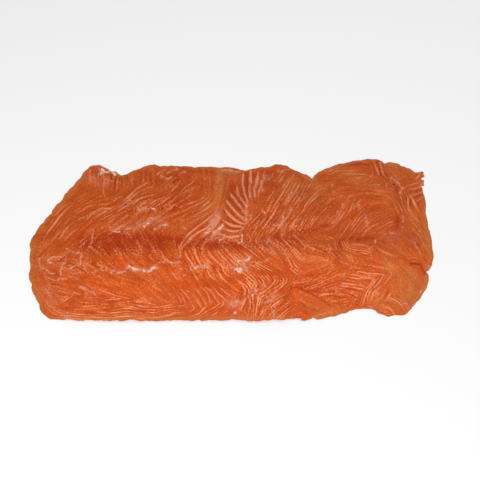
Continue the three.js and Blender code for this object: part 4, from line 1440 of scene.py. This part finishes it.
def fat_lines(places, marbling):
    """How much fat shows at each place, from 0 to 1, and how much darker the flesh beside it is."""
    stripes, strength, fading, streaks, spacing = marbling.at(places)

    # The grown lines, stronger where they lie close, and broken up along themselves
    close = smooth_step(-spacing, -4.5, -2.6)
    calm = smooth_step(noise.at(places, 90, 6), -1.6, 0.6)
    faded = (0.4 + 0.6 * smooth_step(fading, -1.3, 1.2)) * (0.7 + 0.3 * calm)
    faded *= 0.62 + 0.38 * smooth_step(noise.at(places, 92, 1.8) + 0.6 * streaks, -1.2, 0.6)
    level = (1.1 + 0.8 * close) * smooth_step(stripes + 0.15 * streaks, 0.1, 0.95) * strength * faded
    level = np.maximum(level, 0.1 * smooth_step(streaks, 0.7, 2.2))
    trough = smooth_step(-stripes, 0.0, 0.9) * strength * (0.6 + 0.4 * calm)

    # The sheaves' own guides
    moved = noise.wandered(noise.wandered(places, 100, 2.6, 0.25), 102, 0.9, 0.12)
    guides = [
        (GUIDE_SHARE * sheaf.strength, GUIDE_WIDTH, *guide)
        for sheaf in marbling.sheaves
        for guide in sheaf.guides
    ]
    drawn = along_strokes(moved, guides) * faded

    # The bright lines, with darker flesh on both sides
    moved = noise.wandered(places, 104, 1.2, 0.15)
    bright = along_strokes(moved, BRIGHT)
    wider = [(strength, BESIDE_BRIGHT * width, *points) for strength, width, *points in BRIGHT]
    beside = along_strokes(moved, wider)
    bright *= 0.5 + 0.38 * smooth_step(streaks + noise.at(places, 95, 2.4), -1.5, 0.6)
    trough = np.maximum(trough, np.clip(beside - bright, 0, 1) * 0.7)
    return np.maximum(np.maximum(level, drawn), bright), trough


def top_outline(node):
    """The rim of a node's top, as one closed loop of points seen from above."""
    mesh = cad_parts[node].data
    places = np.array([v.co for v in mesh.vertices])
    _, merged = np.unique(np.round(places * 1e6).astype(int), axis=0, return_inverse=True)
    merged = merged.ravel()
    tops = {}
    walls = set()
    for face in mesh.polygons:
        corners = merged[list(face.vertices)]
        edges = list(zip(corners, np.roll(corners, -1)))
        if face.normal.z > WALL_SLOPE:
            tops.update(dict.fromkeys(edges))
        elif abs(face.normal.z) <= WALL_SLOPE:
            walls.update((b, a) for a, b in edges)
    following = {a: b for a, b in tops if (a, b) in walls}
    spot = np.zeros((merged.max() + 1, 3))
    spot[merged] = places
    loops = []
    while following:
        start, at = next(iter(following.items()))
        loop = [start]
        del following[start]
        while at != start:
            loop.append(at)
            at = following.pop(at)
        loops.append(spot[loop][:, :2])
    return max(loops, key=len)


def even_loop(loop, step):
    """A closed loop's points, spaced evenly at about the given step."""
    closed = np.vstack([loop, loop[:1]])
    travelled = travel(closed)
    count = round(travelled[-1] / step)
    return points_at(closed, travelled, np.arange(count) * travelled[-1] / count)


def softened(loop, reach):
    """A closed loop with its corners rounded. The reach is in points."""
    turns = np.fft.fftfreq(len(loop))
    falloff = np.exp(-2 * (math.pi * reach * turns) ** 2)[:, None]
    return np.fft.ifft(np.fft.fft(loop, axis=0) * falloff, axis=0).real


def outward_of(loop):
    """The direction out of a closed loop at each of its points."""
    along = np.roll(loop, -1, axis=0) - np.roll(loop, 1, axis=0)
    along /= np.hypot(*along.T)[:, None]
    return np.column_stack([along[:, 1], -along[:, 0]])


def cut_edge(node, step, wander):
    """The uneven line of a slice's cut edge."""
    loop = softened(even_loop(top_outline(node), step), CORNER_REACH / step)
    random = seeded(node)
    strays = np.zeros(len(loop))
    for reach, share in EDGE_WAVES:
        rough = softened(random.normal(size=(len(loop), 1)), reach / step)[:, 0]
        strays += share * rough / rough.std()
    level = np.column_stack([loop, np.full(len(loop), EDGE_LEVEL)])
    tongues = [tongue[1:] for tongue in TONGUES if tongue[0] == node]
    pushed = along_strokes(picture_place(level), [*EDGES, *tongues]) * PIXEL
    return even_loop(loop + outward_of(loop) * (strays * wander + pushed)[:, None], step)


def core_outline(sizes):
    """The line of the core's edge, which the slices hang over."""
    return cut_edge(CORE, CORE_STEP, CORE_WANDER * sizes.rim_wander)


def lattice_inside(loop, step, clear):
    """Points of a three-way lattice inside a loop, with the given free space along its line."""
    low = loop.min(0)
    high = loop.max(0)
    rows = np.arange(low[1], high[1], step * math.sqrt(3) / 2)
    after = np.roll(loop, -1, axis=0)
    points = []
    for k, y in enumerate(rows):
        crossing = (loop[:, 1] > y) != (after[:, 1] > y)
        a, b = loop[crossing], after[crossing]
        cuts = np.sort(a[:, 0] + (y - a[:, 1]) * (b[:, 0] - a[:, 0]) / (b[:, 1] - a[:, 1]))
        x = np.arange(low[0] + (k % 2) * step / 2, high[0], step)
        x = x[np.searchsorted(cuts, x) % 2 == 1]
        points.append(np.column_stack([x, np.full(len(x), y)]))
    points = np.vstack(points)
    return points[depths_inside(loop, points) > clear]


def inside_loop(loop, points):
    """Whether each point lies inside a loop."""
    after = np.roll(loop, -1, axis=0)
    count = np.zeros(len(points), int)
    for (ax, ay), (bx, by) in zip(loop, after):
        if ay != by:
            spans = (points[:, 1] > min(ay, by)) & (points[:, 1] <= max(ay, by))
            count[spans] += points[spans, 0] > ax + (points[spans, 1] - ay) * (bx - ax) / (by - ay)
    return count % 2 == 1


def depths_inside(loop, points):
    """The distance of each point from a loop's line."""
    fine = even_loop(loop, LINE_STEP)
    tree = KDTree(len(fine))
    for k, (x, y) in enumerate(fine):
        tree.insert((x, y, 0), k)
    tree.balance()
    return np.array([tree.find((x, y, 0))[2] for x, y in points])


def filled(loop, inner):
    """Triangles over a loop and the points inside it."""
    corners = [Vector(p) for p in np.vstack([loop, inner])]
    made = delaunay_2d_cdt(corners, [], [list(range(len(loop)))], 1, 1e-9)
    if len(made[0]) != len(corners):
        raise RuntimeError("a cut edge crosses itself")
    return np.array(made[2])


class Heights:
    """The smooth top and underside of a node, read from its solid."""

    # The grid's step, the reach of each fit in steps, and the least weight and spread that a fit may have
    STEP = 2.5 * MM
    REACH = 2.2
    LEAST_WEIGHT = 1e-4
    LEAST_SPREAD = 0.02

    def __init__(self, node):
        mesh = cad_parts[node].data
        tree = BVHTree.FromPolygons([v.co for v in mesh.vertices], [p.vertices[:] for p in mesh.polygons])
        low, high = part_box(node)
        margin = 4 * self.STEP
        self.low = np.array([low.x - margin, low.y - margin])
        columns = math.ceil((high.x + margin - self.low[0]) / self.STEP) + 1
        rows = math.ceil((high.y + margin - self.low[1]) / self.STEP) + 1
        found = np.zeros((3, rows, columns))
        for j in range(rows):
            for i in range(columns):
                x, y = self.low + np.array([i, j]) * self.STEP
                top = tree.ray_cast(Vector((x, y, 1)), Vector((0, 0, -1)))[0]
                under = tree.ray_cast(Vector((x, y, -1)), Vector((0, 0, 1)))[0]
                if top and under:
                    found[:, j, i] = 1, top.z, under.z
        self.fields = self.fitted(found)

    def fitted(self, found):
        """A plane fitted round each grid point, so that facets go and slopes stay, out past the rim too."""
        there, top, under = found
        y, x = np.mgrid[: top.shape[0], : top.shape[1]].astype(float)
        products = [there, there * x, there * y, there * x * x, there * x * y, there * y * y]
        products += [top, top * x, top * y, under, under * x, under * y]
        n, sx, sy, sxx, sxy, syy, t, tx, ty, u, ux, uy = blurred(np.array(products), self.REACH)
        weak = n < self.LEAST_WEIGHT
        n = np.where(weak, 1, n)
        mx, my = sx / n, sy / n
        vxx = sxx / n - mx * mx + self.LEAST_SPREAD
        vyy = syy / n - my * my + self.LEAST_SPREAD
        vxy = sxy / n - mx * my
        det = vxx * vyy - vxy * vxy
        planes = []
        for m, px, py in ((t, tx, ty), (u, ux, uy)):
            m = m / n
            cx = px / n - mx * m
            cy = py / n - my * m
            gx = (cx * vyy - cy * vxy) / det
            gy = (cy * vxx - cx * vxy) / det
            planes.append(np.where(weak, 0, m + gx * (x - mx) + gy * (y - my)))
        return np.array(planes)

    def at(self, points):
        """Top and underside at points of the plan, by a cubic through the grid."""
        column, row = ((points - self.low) / self.STEP).T
        height, width = self.fields.shape[1:]
        i = np.clip(column.astype(int), 1, width - 3)
        j = np.clip(row.astype(int), 1, height - 3)
        u, v = column - i, row - j

        def weights(t):
            return (
                (-t + 2 * t**2 - t**3) / 2,
                (2 - 5 * t**2 + 3 * t**3) / 2,
                (t + 4 * t**2 - 3 * t**3) / 2,
                (t**3 - t**2) / 2,
            )

        total = 0
        for dj, wj in zip((-1, 0, 1, 2), weights(v)):
            for di, wi in zip((-1, 0, 1, 2), weights(u)):
                total = total + self.fields[:, j + dj, i + di] * wi * wj
        return total


def mesh_object(name, places, faces, materials, attributes, rim_points=0):
    """A shaded mesh object, with a vector on each point for every named attribute.

    Its first points may be a rim, across which the shading isn't smoothed.
    """
    mesh = bpy.data.meshes.new(name)
    mesh.vertices.add(len(places))
    mesh.vertices.foreach_set("co", np.ascontiguousarray(places, dtype=np.float32).ravel())
    mesh.loops.add(faces.size)
    mesh.loops.foreach_set("vertex_index", np.ascontiguousarray(faces, dtype=np.int32).ravel())
    mesh.polygons.add(len(faces))
    mesh.polygons.foreach_set("loop_start", np.arange(0, faces.size, 3, dtype=np.int32))
    mesh.polygons.foreach_set("loop_total", np.full(len(faces), 3, dtype=np.int32))
    mesh.update(calc_edges=True)
    mesh.validate()
    mesh.shade_smooth()
    if rim_points:
        edges = np.empty(2 * len(mesh.edges), np.int32)
        mesh.edges.foreach_get("vertices", edges)
        edges = edges.reshape(-1, 2)
        apart = np.abs(edges[:, 0] - edges[:, 1])
        on_rim = (edges.max(1) < rim_points) & ((apart == 1) | (apart == rim_points - 1))
        made = mesh.attributes.new("sharp_edge", "BOOLEAN", "EDGE")
        made.data.foreach_set("value", on_rim)
    for label, values in attributes.items():
        made = mesh.attributes.new(label, "FLOAT_VECTOR", "POINT")
        made.data.foreach_set("vector", np.ascontiguousarray(values, dtype=np.float32).ravel())
    for material in materials:
        mesh.materials.append(material)
    made = bpy.data.objects.new(name, mesh)
    bpy.context.scene.collection.objects.link(made)
    return made


def flesh_attributes(places, depth, over_floor, marbling, fat, trough):
    """What the flesh material reads at each point of a slice's top."""
    pictured = picture_place(places)
    streaks = marbling.at(pictured)[3]
    ragged = noise.wandered(noise.wandered(pictured, 110, 1.6, 0.5), 112, 0.6, 0.3)
    tissue_and_highlight = along_strokes(ragged, TISSUE_AND_HIGHLIGHT)
    film = [(0.25 * strength, 2 * width + 0.5, *points) for strength, width, *points in TISSUE_AND_HIGHLIGHT]
    veil = np.maximum(along_strokes(ragged, film), along_strokes(ragged, VEILS, SOFT_PATCH))
    tissue_and_highlight *= 0.6 + 0.5 * smooth_step(noise.at(pictured, 114, 1.1), -1.2, 0.8)
    # Patches of dark flesh together with painted shade of creases and folds, then pale, vivid and grainy
    # flesh
    loose = noise.wandered(pictured, 116, 4, 1.2)
    patches = (DEEP_AND_FOLD_SHADE, PALE, VIVID, GRAIN)
    deep_and_shade, pale, vivid, grain = (along_strokes(loose, table, SOFT_PATCH) for table in patches)
    thin = along_strokes(noise.wandered(pictured, 118, 2, 0.5), THIN, SOFT_PATCH)
    # Dark specks, and painted shade at the bottoms of creases
    specks_and_crease_shade = along_strokes(pictured, SPECKS_AND_CREASE_SHADE)

    # The loin lies on the near side of the lateral line, which comes nearer at the narrow end
    across = pictured[:, 1] + 3 * noise.at(pictured, 120, 8)
    along = pictured[:, 0] + 8 * noise.at(pictured, 121, 10)
    later = 13 * (1 - smooth_step(along, 160, 205))
    loin = smooth_step(across - later, 238, 260) * (0.3 + 0.7 * smooth_step(along, 30, 100))
    rim = (1 - smooth_step(depth, *TAN_BAND)) * over_floor * 0.45
    return {
        "marbling": np.column_stack([fat, trough, streaks]),
        "tissue_veil_specks_and_painted_light": np.column_stack([tissue_and_highlight, veil, specks_and_crease_shade]),
        "flesh_tone_and_painted_shade": np.column_stack([deep_and_shade, loin, pale]),
        "rim_thinness": np.column_stack([np.maximum(rim, thin), vivid, grain]),
    }


def lay_slice(name, sizes, material, core_line):
    """Builds one slice: a fine top, an uneven rim that sinks onto what is below, and a plain underside."""
    step = sizes.mesh_step * STEP_SHARES.get(name, FINEST_SHARE)
    loop = cut_edge(name, step, sizes.rim_wander)
    heights = Heights(name)
    inner = lattice_inside(loop, step, RIM_CLEARANCE * step)
    top_faces = filled(loop, inner)
    under_inner = lattice_inside(loop, sizes.hidden_step, RIM_CLEARANCE * sizes.hidden_step)
    under_faces = filled(loop, under_inner)
    drops = [drop[1:] for drop in DROPS if drop[0] == name]

    def settled(plan, depth):
        """Top and underside, with the rim sunk through the gap, and to the floor where nothing carries it."""
        top, under = heights.at(plan)
        sink = GAP * (1 - smooth_step(depth, *SINK_BAND))
        sink += MM * along_strokes(picture_place(np.column_stack([plan, top])), drops)
        beyond = np.zeros(len(plan))
        outside = ~inside_loop(core_line, plan) & (depth < HANGING_BAND)
        beyond[outside] = depths_inside(core_line, plan[outside])
        hang = 0.5 * beyond**2 / (beyond + BEND_REACH)
        hang = np.minimum(hang, np.maximum(under - FLOOR_CLEARANCE - sink, 0))
        return top - sink - hang, under - sink - hang

    plan = np.vstack([loop, inner])
    depth = np.concatenate([np.zeros(len(loop)), depths_inside(loop, inner)])
    top, under = settled(plan, depth)
    thickness = np.maximum(top - under, LEAST_THICKNESS)
    thinning = 0.15 + 0.85 * smooth_step(depth, 0, THINNING_BAND)
    thickness = RIM_THICKNESS + (thickness - RIM_THICKNESS) * thinning
    round_off = np.sqrt(1 - (1 - np.clip(depth / sizes.rim_width, 0, 1)) ** 2)
    nose = 0.2 * thickness
    places = np.column_stack([plan, under + nose + (thickness - nose) * round_off])

    pictured = picture_place(places)
    marbling = Marbling(name, pictured)
    fat, trough = fat_lines(pictured, marbling)
    inside = smooth_step(depth, 0, RELIEF_BAND)
    over_floor = 1 - smooth_step(under, *OVER_FLOOR)
    swell = sizes.swell_height * (noise.at(pictured, 130, 3.2) + 0.5 * noise.at(pictured, 131, 1.4))
    relief = sizes.fat_height * (fat - 0.5 * trough)
    relief += TISSUE_HEIGHT * along_strokes(pictured, TISSUE_AND_HIGHLIGHT)
    relief += MM * along_strokes(pictured, FOLDS)
    places[:, 2] += relief * inside + swell * np.maximum(inside, 1 - over_floor)
    lift = np.maximum(0, noise.at(pictured, 132, 6)) * (1 - smooth_step(depth, 0, LIFT_BAND)) * over_floor
    places[:, 2] += LIFT_HEIGHT * lift
    attributes = flesh_attributes(places, depth, over_floor, marbling, fat, trough)

    below = settled(under_inner, depths_inside(loop, under_inner))[1]
    places = np.vstack([places, np.column_stack([under_inner, below])])
    shift = len(plan) - len(loop)
    under_index = np.where(under_faces < len(loop), under_faces, under_faces + shift)
    faces = np.vstack([top_faces, under_index[:, ::-1]])
    plain = np.zeros((len(under_inner), 3))
    attributes = {label: np.vstack([values, plain]) for label, values in attributes.items()}
    return mesh_object(f"flesh_{name}", places, faces, [material], attributes, len(loop))


def lay_core(sizes, material):
    """Builds the core, which shows round the slices' rims and underneath."""
    loop = core_outline(sizes)
    inner = lattice_inside(loop, CORE_TOP_STEP, CORE_STEP)
    faces = [filled(loop, inner)]
    count = len(loop)
    plan = np.vstack([loop, inner])
    top = Heights(CORE).at(plan)[0]
    top[:count] = np.maximum(top[:count], CORE_RIM)
    places = [np.column_stack([plan, top])]
    outward = outward_of(loop)
    for k in range(1, CORE_RINGS + 1):
        share = k / CORE_RINGS
        uneven = noise.at(picture_place(places[0][:count]), 140 + k, 4)
        bulge = CORE_BULGE * math.sin(math.pi * share) * (0.6 + 0.3 * uneven)
        inset = CORE_BULGE * max(0, share - 0.75) * 4
        ring = loop + outward * (bulge - inset)[:, None]
        places.append(np.column_stack([ring, top[:count] * (1 - share)]))
    starts = [0] + [len(plan) + count * k for k in range(CORE_RINGS)]
    here = np.arange(count)
    ahead = (here + 1) % count
    for upper, lower in zip(starts, starts[1:]):
        faces.append(np.column_stack([upper + here, lower + here, upper + ahead]))
        faces.append(np.column_stack([upper + ahead, lower + here, lower + ahead]))
    base = places[-1][:, :2]
    base_inner = lattice_inside(base, CORE_BASE_STEP, CORE_TOP_STEP)
    faces.append((filled(base, base_inner) + starts[-1])[:, ::-1])
    places.append(np.column_stack([base_inner, np.zeros(len(base_inner))]))
    return mesh_object("flesh_core", np.vstack(places), np.vstack(faces), [material], {})


class Shader:
    """A small helper that adds and joins nodes of one material."""

    def __init__(self, name):
        self.material = bpy.data.materials.new(name)
        self.material.use_nodes = True
        self.tree = self.material.node_tree
        self.tree.nodes.clear()
        output = self.tree.nodes.new("ShaderNodeOutputMaterial")
        self.skin = self.tree.nodes.new("ShaderNodeBsdfPrincipled")
        self.tree.links.new(self.skin.outputs["BSDF"], output.inputs["Surface"])

    def join(self, value, socket):
        """Links an output to a socket, or sets the socket to a number or a colour."""
        if isinstance(value, bpy.types.NodeSocket):
            self.tree.links.new(value, socket)
        else:
            socket.default_value = value

    def parts_of(self, vector):
        parts = self.tree.nodes.new("ShaderNodeSeparateXYZ")
        self.tree.links.new(vector, parts.inputs[0])
        return parts.outputs[0], parts.outputs[1], parts.outputs[2]

    def attribute(self, name):
        node = self.tree.nodes.new("ShaderNodeAttribute")
        node.attribute_name = name
        return self.parts_of(node.outputs["Vector"])

    def place(self, scale=(1, 1, 1), turn=(0, 0, 0)):
        coordinates = self.tree.nodes.new("ShaderNodeTexCoord")
        mapping = self.tree.nodes.new("ShaderNodeMapping")
        mapping.inputs["Scale"].default_value = scale
        mapping.inputs["Rotation"].default_value = turn
        self.tree.links.new(coordinates.outputs["Object"], mapping.inputs["Vector"])
        return mapping.outputs[0]

    def noise(self, where, size, detail, roughness):
        node = self.tree.nodes.new("ShaderNodeTexNoise")
        self.join(where, node.inputs["Vector"])
        node.inputs["Scale"].default_value = 1 / size
        node.inputs["Detail"].default_value = detail
        node.inputs["Roughness"].default_value = roughness
        return node.outputs["Fac"]

    def math(self, kind, a, b):
        node = self.tree.nodes.new("ShaderNodeMath")
        node.operation = kind
        for value, socket in zip((a, b), node.inputs):
            self.join(value, socket)
        return node.outputs[0]

    def plus(self, a, b):
        return self.math("ADD", a, b)

    def minus(self, a, b):
        return self.math("SUBTRACT", a, b)

    def times(self, a, b):
        return self.math("MULTIPLY", a, b)

    def between(self, value, low, high, start=0.0, end=1.0):
        """Goes smoothly from start to end while the value goes from low to high."""
        node = self.tree.nodes.new("ShaderNodeMapRange")
        node.interpolation_type = "SMOOTHSTEP"
        for given, socket in zip((value, low, high, start, end), node.inputs):
            self.join(given, socket)
        return node.outputs[0]

    def mix(self, share, a, b, kind="MIX"):
        node = self.tree.nodes.new("ShaderNodeMix")
        node.data_type = "RGBA"
        node.blend_type = kind
        self.join(share, node.inputs[0])
        for value, socket in ((a, node.inputs[6]), (b, node.inputs[7])):
            self.join(value if isinstance(value, bpy.types.NodeSocket) else (*value[:3], 1), socket)
        return node.outputs[2]

    def grey(self, value):
        node = self.tree.nodes.new("ShaderNodeCombineXYZ")
        for socket in node.inputs:
            self.join(value, socket)
        return node.outputs[0]

    def bump(self, height, distance, strength):
        node = self.tree.nodes.new("ShaderNodeBump")
        node.inputs["Strength"].default_value = strength
        node.inputs["Distance"].default_value = distance
        self.join(height, node.inputs["Height"])
        return node.outputs[0]


def moist(shader, colour, roughness, normal):
    """Sets the moist surface of the flesh."""
    skin = shader.skin
    shader.join(colour, skin.inputs["Base Color"])
    shader.join(roughness, skin.inputs["Roughness"])
    shader.join(normal, skin.inputs["Normal"])
    skin.inputs["IOR"].default_value = 1.4
    skin.inputs["Specular IOR Level"].default_value = 0.13


def slice_material(colours):
    """Marbled flesh. Its patterns come from each slice's attributes, broken up by fine noise."""
    shader = Shader("marbled_flesh")
    plus, minus, times = shader.plus, shader.minus, shader.times
    between, mix = shader.between, shader.mix
    fat, trough, streaks = shader.attribute("marbling")
    tissue_and_highlight, veil, specks_and_crease_shade = shader.attribute("tissue_veil_specks_and_painted_light")
    deep_and_shade, loin, pale = shader.attribute("flesh_tone_and_painted_shade")
    thin, vivid, grain = shader.attribute("rim_thinness")
    where = shader.place()
    fine = shader.noise(where, 1.2 * MM, 2.0, 0.6)
    small = shader.noise(where, 5 * MM, 3.0, 0.6)
    broad = shader.noise(where, 20 * MM, 2.0, 0.5)
    blotch = shader.noise(where, 2.6 * MM, 2.0, 0.55)
    mottle = shader.noise(shader.place((1, 1, 1), (0.4, 0.2, 0.9)), 1.8 * MM, 2.0, 0.6)
    crumbs = plus(mottle, times(streaks, 0.06))
    fat_colour = mix(loin, colours.dull_fat, colours.fat)

    # The flesh, region by region, with painted shade of creases and folds among its dark parts, then its
    # blotches
    flesh = mix(loin, colours.belly, colours.loin)
    flesh = mix(vivid, flesh, colours.vivid)
    flesh = mix(times(pale, 0.9), flesh, colours.pale)
    deep_and_shade_share = times(deep_and_shade, between(small, 0.3, 0.6, 0.65, 1.0))
    flesh = mix(deep_and_shade_share, flesh, colours.deep_and_shade)
    flesh = mix(times(trough, 0.56), flesh, colours.deep_and_shade)
    flesh = mix(between(blotch, 0.52, 0.72, 0.0, 0.11), flesh, colours.deep_and_shade)
    flesh = mix(between(blotch, 0.48, 0.28, 0.0, 0.11), flesh, colours.pale)

    # Painted shade in small hollows, and pale crumbs, where the surface is rough
    hollow_shade = times(between(crumbs, 0.48, 0.34), between(grain, 0.0, 1.0, 0.14, 0.7))
    flesh = mix(hollow_shade, flesh, colours.deep_and_shade)
    crumb = times(between(crumbs, 0.54, 0.66), between(grain, 0.0, 1.0, 0.12, 0.62))
    flesh = mix(crumb, flesh, fat_colour)

    # Lighter and darker spots of several sizes
    light = plus(1.0, between(small, 0.25, 0.75, -0.03, 0.03))
    light = plus(light, between(broad, 0.3, 0.7, -0.03, 0.03))
    light = plus(light, between(fine, 0.28, 0.72, -0.2, 0.2))
    light = plus(light, times(streaks, between(grain, 0.0, 1.0, 0.035, 0.05)))
    flesh = mix(1.0, flesh, shader.grey(light), "MULTIPLY")

    # The lilac film, the fat lines, the torn white tissue with the painted highlight on the folded corner,
    # the thin rims, and the specks with painted shade at the bottoms of creases
    ragged = between(fine, 0.3, 0.7, 0.5, 1.25)
    flesh = mix(times(veil, ragged), flesh, colours.veil)
    broken = plus(fat, times(minus(crumbs, 0.5), 0.6))
    line = between(broken, 0.1, 0.66, 0.0, 0.83)
    colour = mix(line, flesh, fat_colour)
    torn = plus(tissue_and_highlight, times(minus(mottle, 0.5), 1.1))
    torn = times(torn, between(tissue_and_highlight, 0.02, 0.2))
    colour = mix(between(torn, 0.1, 0.45, 0.0, 0.75), colour, colours.veil)
    colour = mix(between(torn, 0.5, 0.85, 0.0, 0.95), colour, colours.tissue_and_highlight)
    see_through = times(thin, between(small, 0.3, 0.7, 0.5, 1.0))
    colour = mix(see_through, colour, colours.rim)
    # Dark specks, and painted shade at the bottoms of creases
    colour = mix(specks_and_crease_shade, colour, colours.speck_and_crease_shade)

    roughness = between(small, 0.3, 0.7, 0.34, 0.52)
    height = plus(times(line, 0.6), times(fine, 0.7))
    normal = shader.bump(height, 0.2 * MM, 0.8)
    moist(shader, colour, roughness, normal)
    return shader.material


def core_material(colours):
    """Plain flesh with faint layers at the sides, and the grey-brown fat of the skin side underneath."""
    shader = Shader("core_flesh")
    plus, between, mix = shader.plus, shader.between, shader.mix
    where = shader.place()
    layered = shader.place((0.25, 0.25, 3.0))
    fine = shader.noise(where, 1.6 * MM, 3.0, 0.6)
    small = shader.noise(where, 7 * MM, 3.0, 0.55)
    layers = shader.noise(layered, 2.2 * MM, 2.0, 0.5)
    flesh = mix(between(small, 0.35, 0.65), colours.loin, colours.belly)
    flesh = mix(between(layers, 0.52, 0.64, 0.0, 0.5), flesh, colours.fat)
    flesh = mix(between(fine, 0.4, 0.75, 0.0, 0.35), flesh, colours.deep_and_shade)
    geometry = shader.tree.nodes.new("ShaderNodeNewGeometry")
    upward = shader.parts_of(geometry.outputs["Normal"])[2]
    below = between(upward, -0.5, -0.9)
    skin_side = mix(between(small, 0.35, 0.7, 0.15, 0.75), colours.underside, colours.pale)
    colour = mix(below, flesh, skin_side)
    roughness = between(small, 0.3, 0.7, 0.4, 0.58)
    normal = shader.bump(plus(fine, small), 0.2 * MM, 0.6)
    moist(shader, colour, roughness, normal)
    return shader.material


def floor_material(colour):
    """A plain matt floor."""
    shader = Shader("studio_floor")
    shader.skin.inputs["Base Color"].default_value = (*colour, 1)
    shader.skin.inputs["Roughness"].default_value = 0.9
    shader.skin.inputs["Specular IOR Level"].default_value = 0.1
    return shader.material


class SALMON_OT_core(bpy.types.Operator):
    """Lay the core of the fillet, under the slices"""

    bl_idname = "salmon.core"
    bl_label = "Lay core"

    def execute(self, context):
        scene = context.scene
        core = lay_core(scene.salmon_sizes, core_material(scene.salmon_colours))
        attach(core, "root")
        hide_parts("fillet_core")
        return {"FINISHED"}


class SALMON_OT_slices(bpy.types.Operator):
    """Lay the marbled slices over the core, from the lowest to the topmost"""

    bl_idname = "salmon.slices"
    bl_label = "Lay slices"

    def execute(self, context):
        scene = context.scene
        sizes = scene.salmon_sizes
        material = slice_material(scene.salmon_colours)
        core_line = core_outline(sizes)
        for name in SLICE_NAMES:
            flesh = lay_slice(name, sizes, material, core_line)
            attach(flesh, "root")
            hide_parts(name)
        return {"FINISHED"}


def area_light(name, place, size, power):
    """A rectangular light that looks at the middle of the fillet."""
    light = bpy.data.lights.new(name, "AREA")
    light.shape = "RECTANGLE"
    light.size, light.size_y = size
    light.energy = power
    made = bpy.data.objects.new(name, light)
    made.location = place
    made.rotation_euler = (-Vector(place)).to_track_quat("-Z", "Y").to_euler()
    bpy.context.scene.collection.objects.link(made)


class SALMON_OT_stage(bpy.types.Operator):
    """Set the floor, the lights and the camera"""

    bl_idname = "salmon.stage"
    bl_label = "Set stage"

    def execute(self, context):
        scene = context.scene
        studio = scene.salmon_studio
        side = FLOOR_HALF_SIDE
        plan = ((-side, -side), (side, -side), (side, side), (-side, side))
        corners = np.array([(x, y, -FLOOR_DROP) for x, y in plan])
        faces = np.array([(0, 1, 2), (0, 2, 3)])
        floor = mesh_object("studio_floor", corners, faces, [floor_material(studio.floor)], {})
        area_light("key_light", KEY_PLACE, KEY_SIZE, studio.key_power)
        area_light("fill_light", FILL_PLACE, FILL_SIZE, studio.fill_power)

        world = bpy.data.worlds.new("soft_sky")
        world.use_nodes = True
        sky = world.node_tree.nodes["Background"]
        sky.inputs["Color"].default_value = (1, 1, 1, 1)
        sky.inputs["Strength"].default_value = studio.sky
        scene.world = world
        scene.view_settings.view_transform = "Standard"
        scene.view_settings.look = "None"

        camera = bpy.data.cameras.new("photo_camera")
        camera.sensor_width = SENSOR_WIDTH
        camera.lens = FOCAL_PIXELS / IMAGE_SIDE * camera.sensor_width
        made = bpy.data.objects.new("photo_camera", camera)
        away = Vector((0, -math.cos(CAMERA_ELEVATION), math.sin(CAMERA_ELEVATION))) * CAMERA_DISTANCE
        made.location = Vector(AIM) + away
        made.rotation_euler = (math.pi / 2 - CAMERA_ELEVATION, 0, 0)
        scene.collection.objects.link(made)
        scene.camera = made
        return {"FINISHED"}


class SALMON_PT_panel(bpy.types.Panel):
    """Lists the steps in the order in which they are run"""

    bl_idname = "SALMON_PT_panel"
    bl_label = "Sliced salmon fillet"
    bl_space_type = "VIEW_3D"
    bl_region_type = "UI"
    bl_category = "Salmon"

    def draw(self, context):
        for operator in (SALMON_OT_core, SALMON_OT_slices, SALMON_OT_stage):
            self.layout.operator(operator.bl_idname)
        for group in (context.scene.salmon_sizes, context.scene.salmon_colours, context.scene.salmon_studio):
            box = self.layout.box()
            for name in group.bl_rna.properties.keys():
                if name not in {"rna_type", "name"}:
                    box.prop(group, name)


CLASSES = (
    SalmonSizes,
    SalmonColours,
    SalmonStudio,
    SALMON_OT_core,
    SALMON_OT_slices,
    SALMON_OT_stage,
    SALMON_PT_panel,
)


def register():
    for item in CLASSES:
        bpy.utils.register_class(item)
    bpy.types.Scene.salmon_sizes = PointerProperty(type=SalmonSizes)
    bpy.types.Scene.salmon_colours = PointerProperty(type=SalmonColours)
    bpy.types.Scene.salmon_studio = PointerProperty(type=SalmonStudio)


def unregister():
    del bpy.types.Scene.salmon_studio
    del bpy.types.Scene.salmon_colours
    del bpy.types.Scene.salmon_sizes
    for item in reversed(CLASSES):
        bpy.utils.unregister_class(item)


def main():
    register()
    bpy.ops.salmon.core()
    bpy.ops.salmon.slices()
    bpy.ops.salmon.stage()


if __name__ == "__main__":
    main()
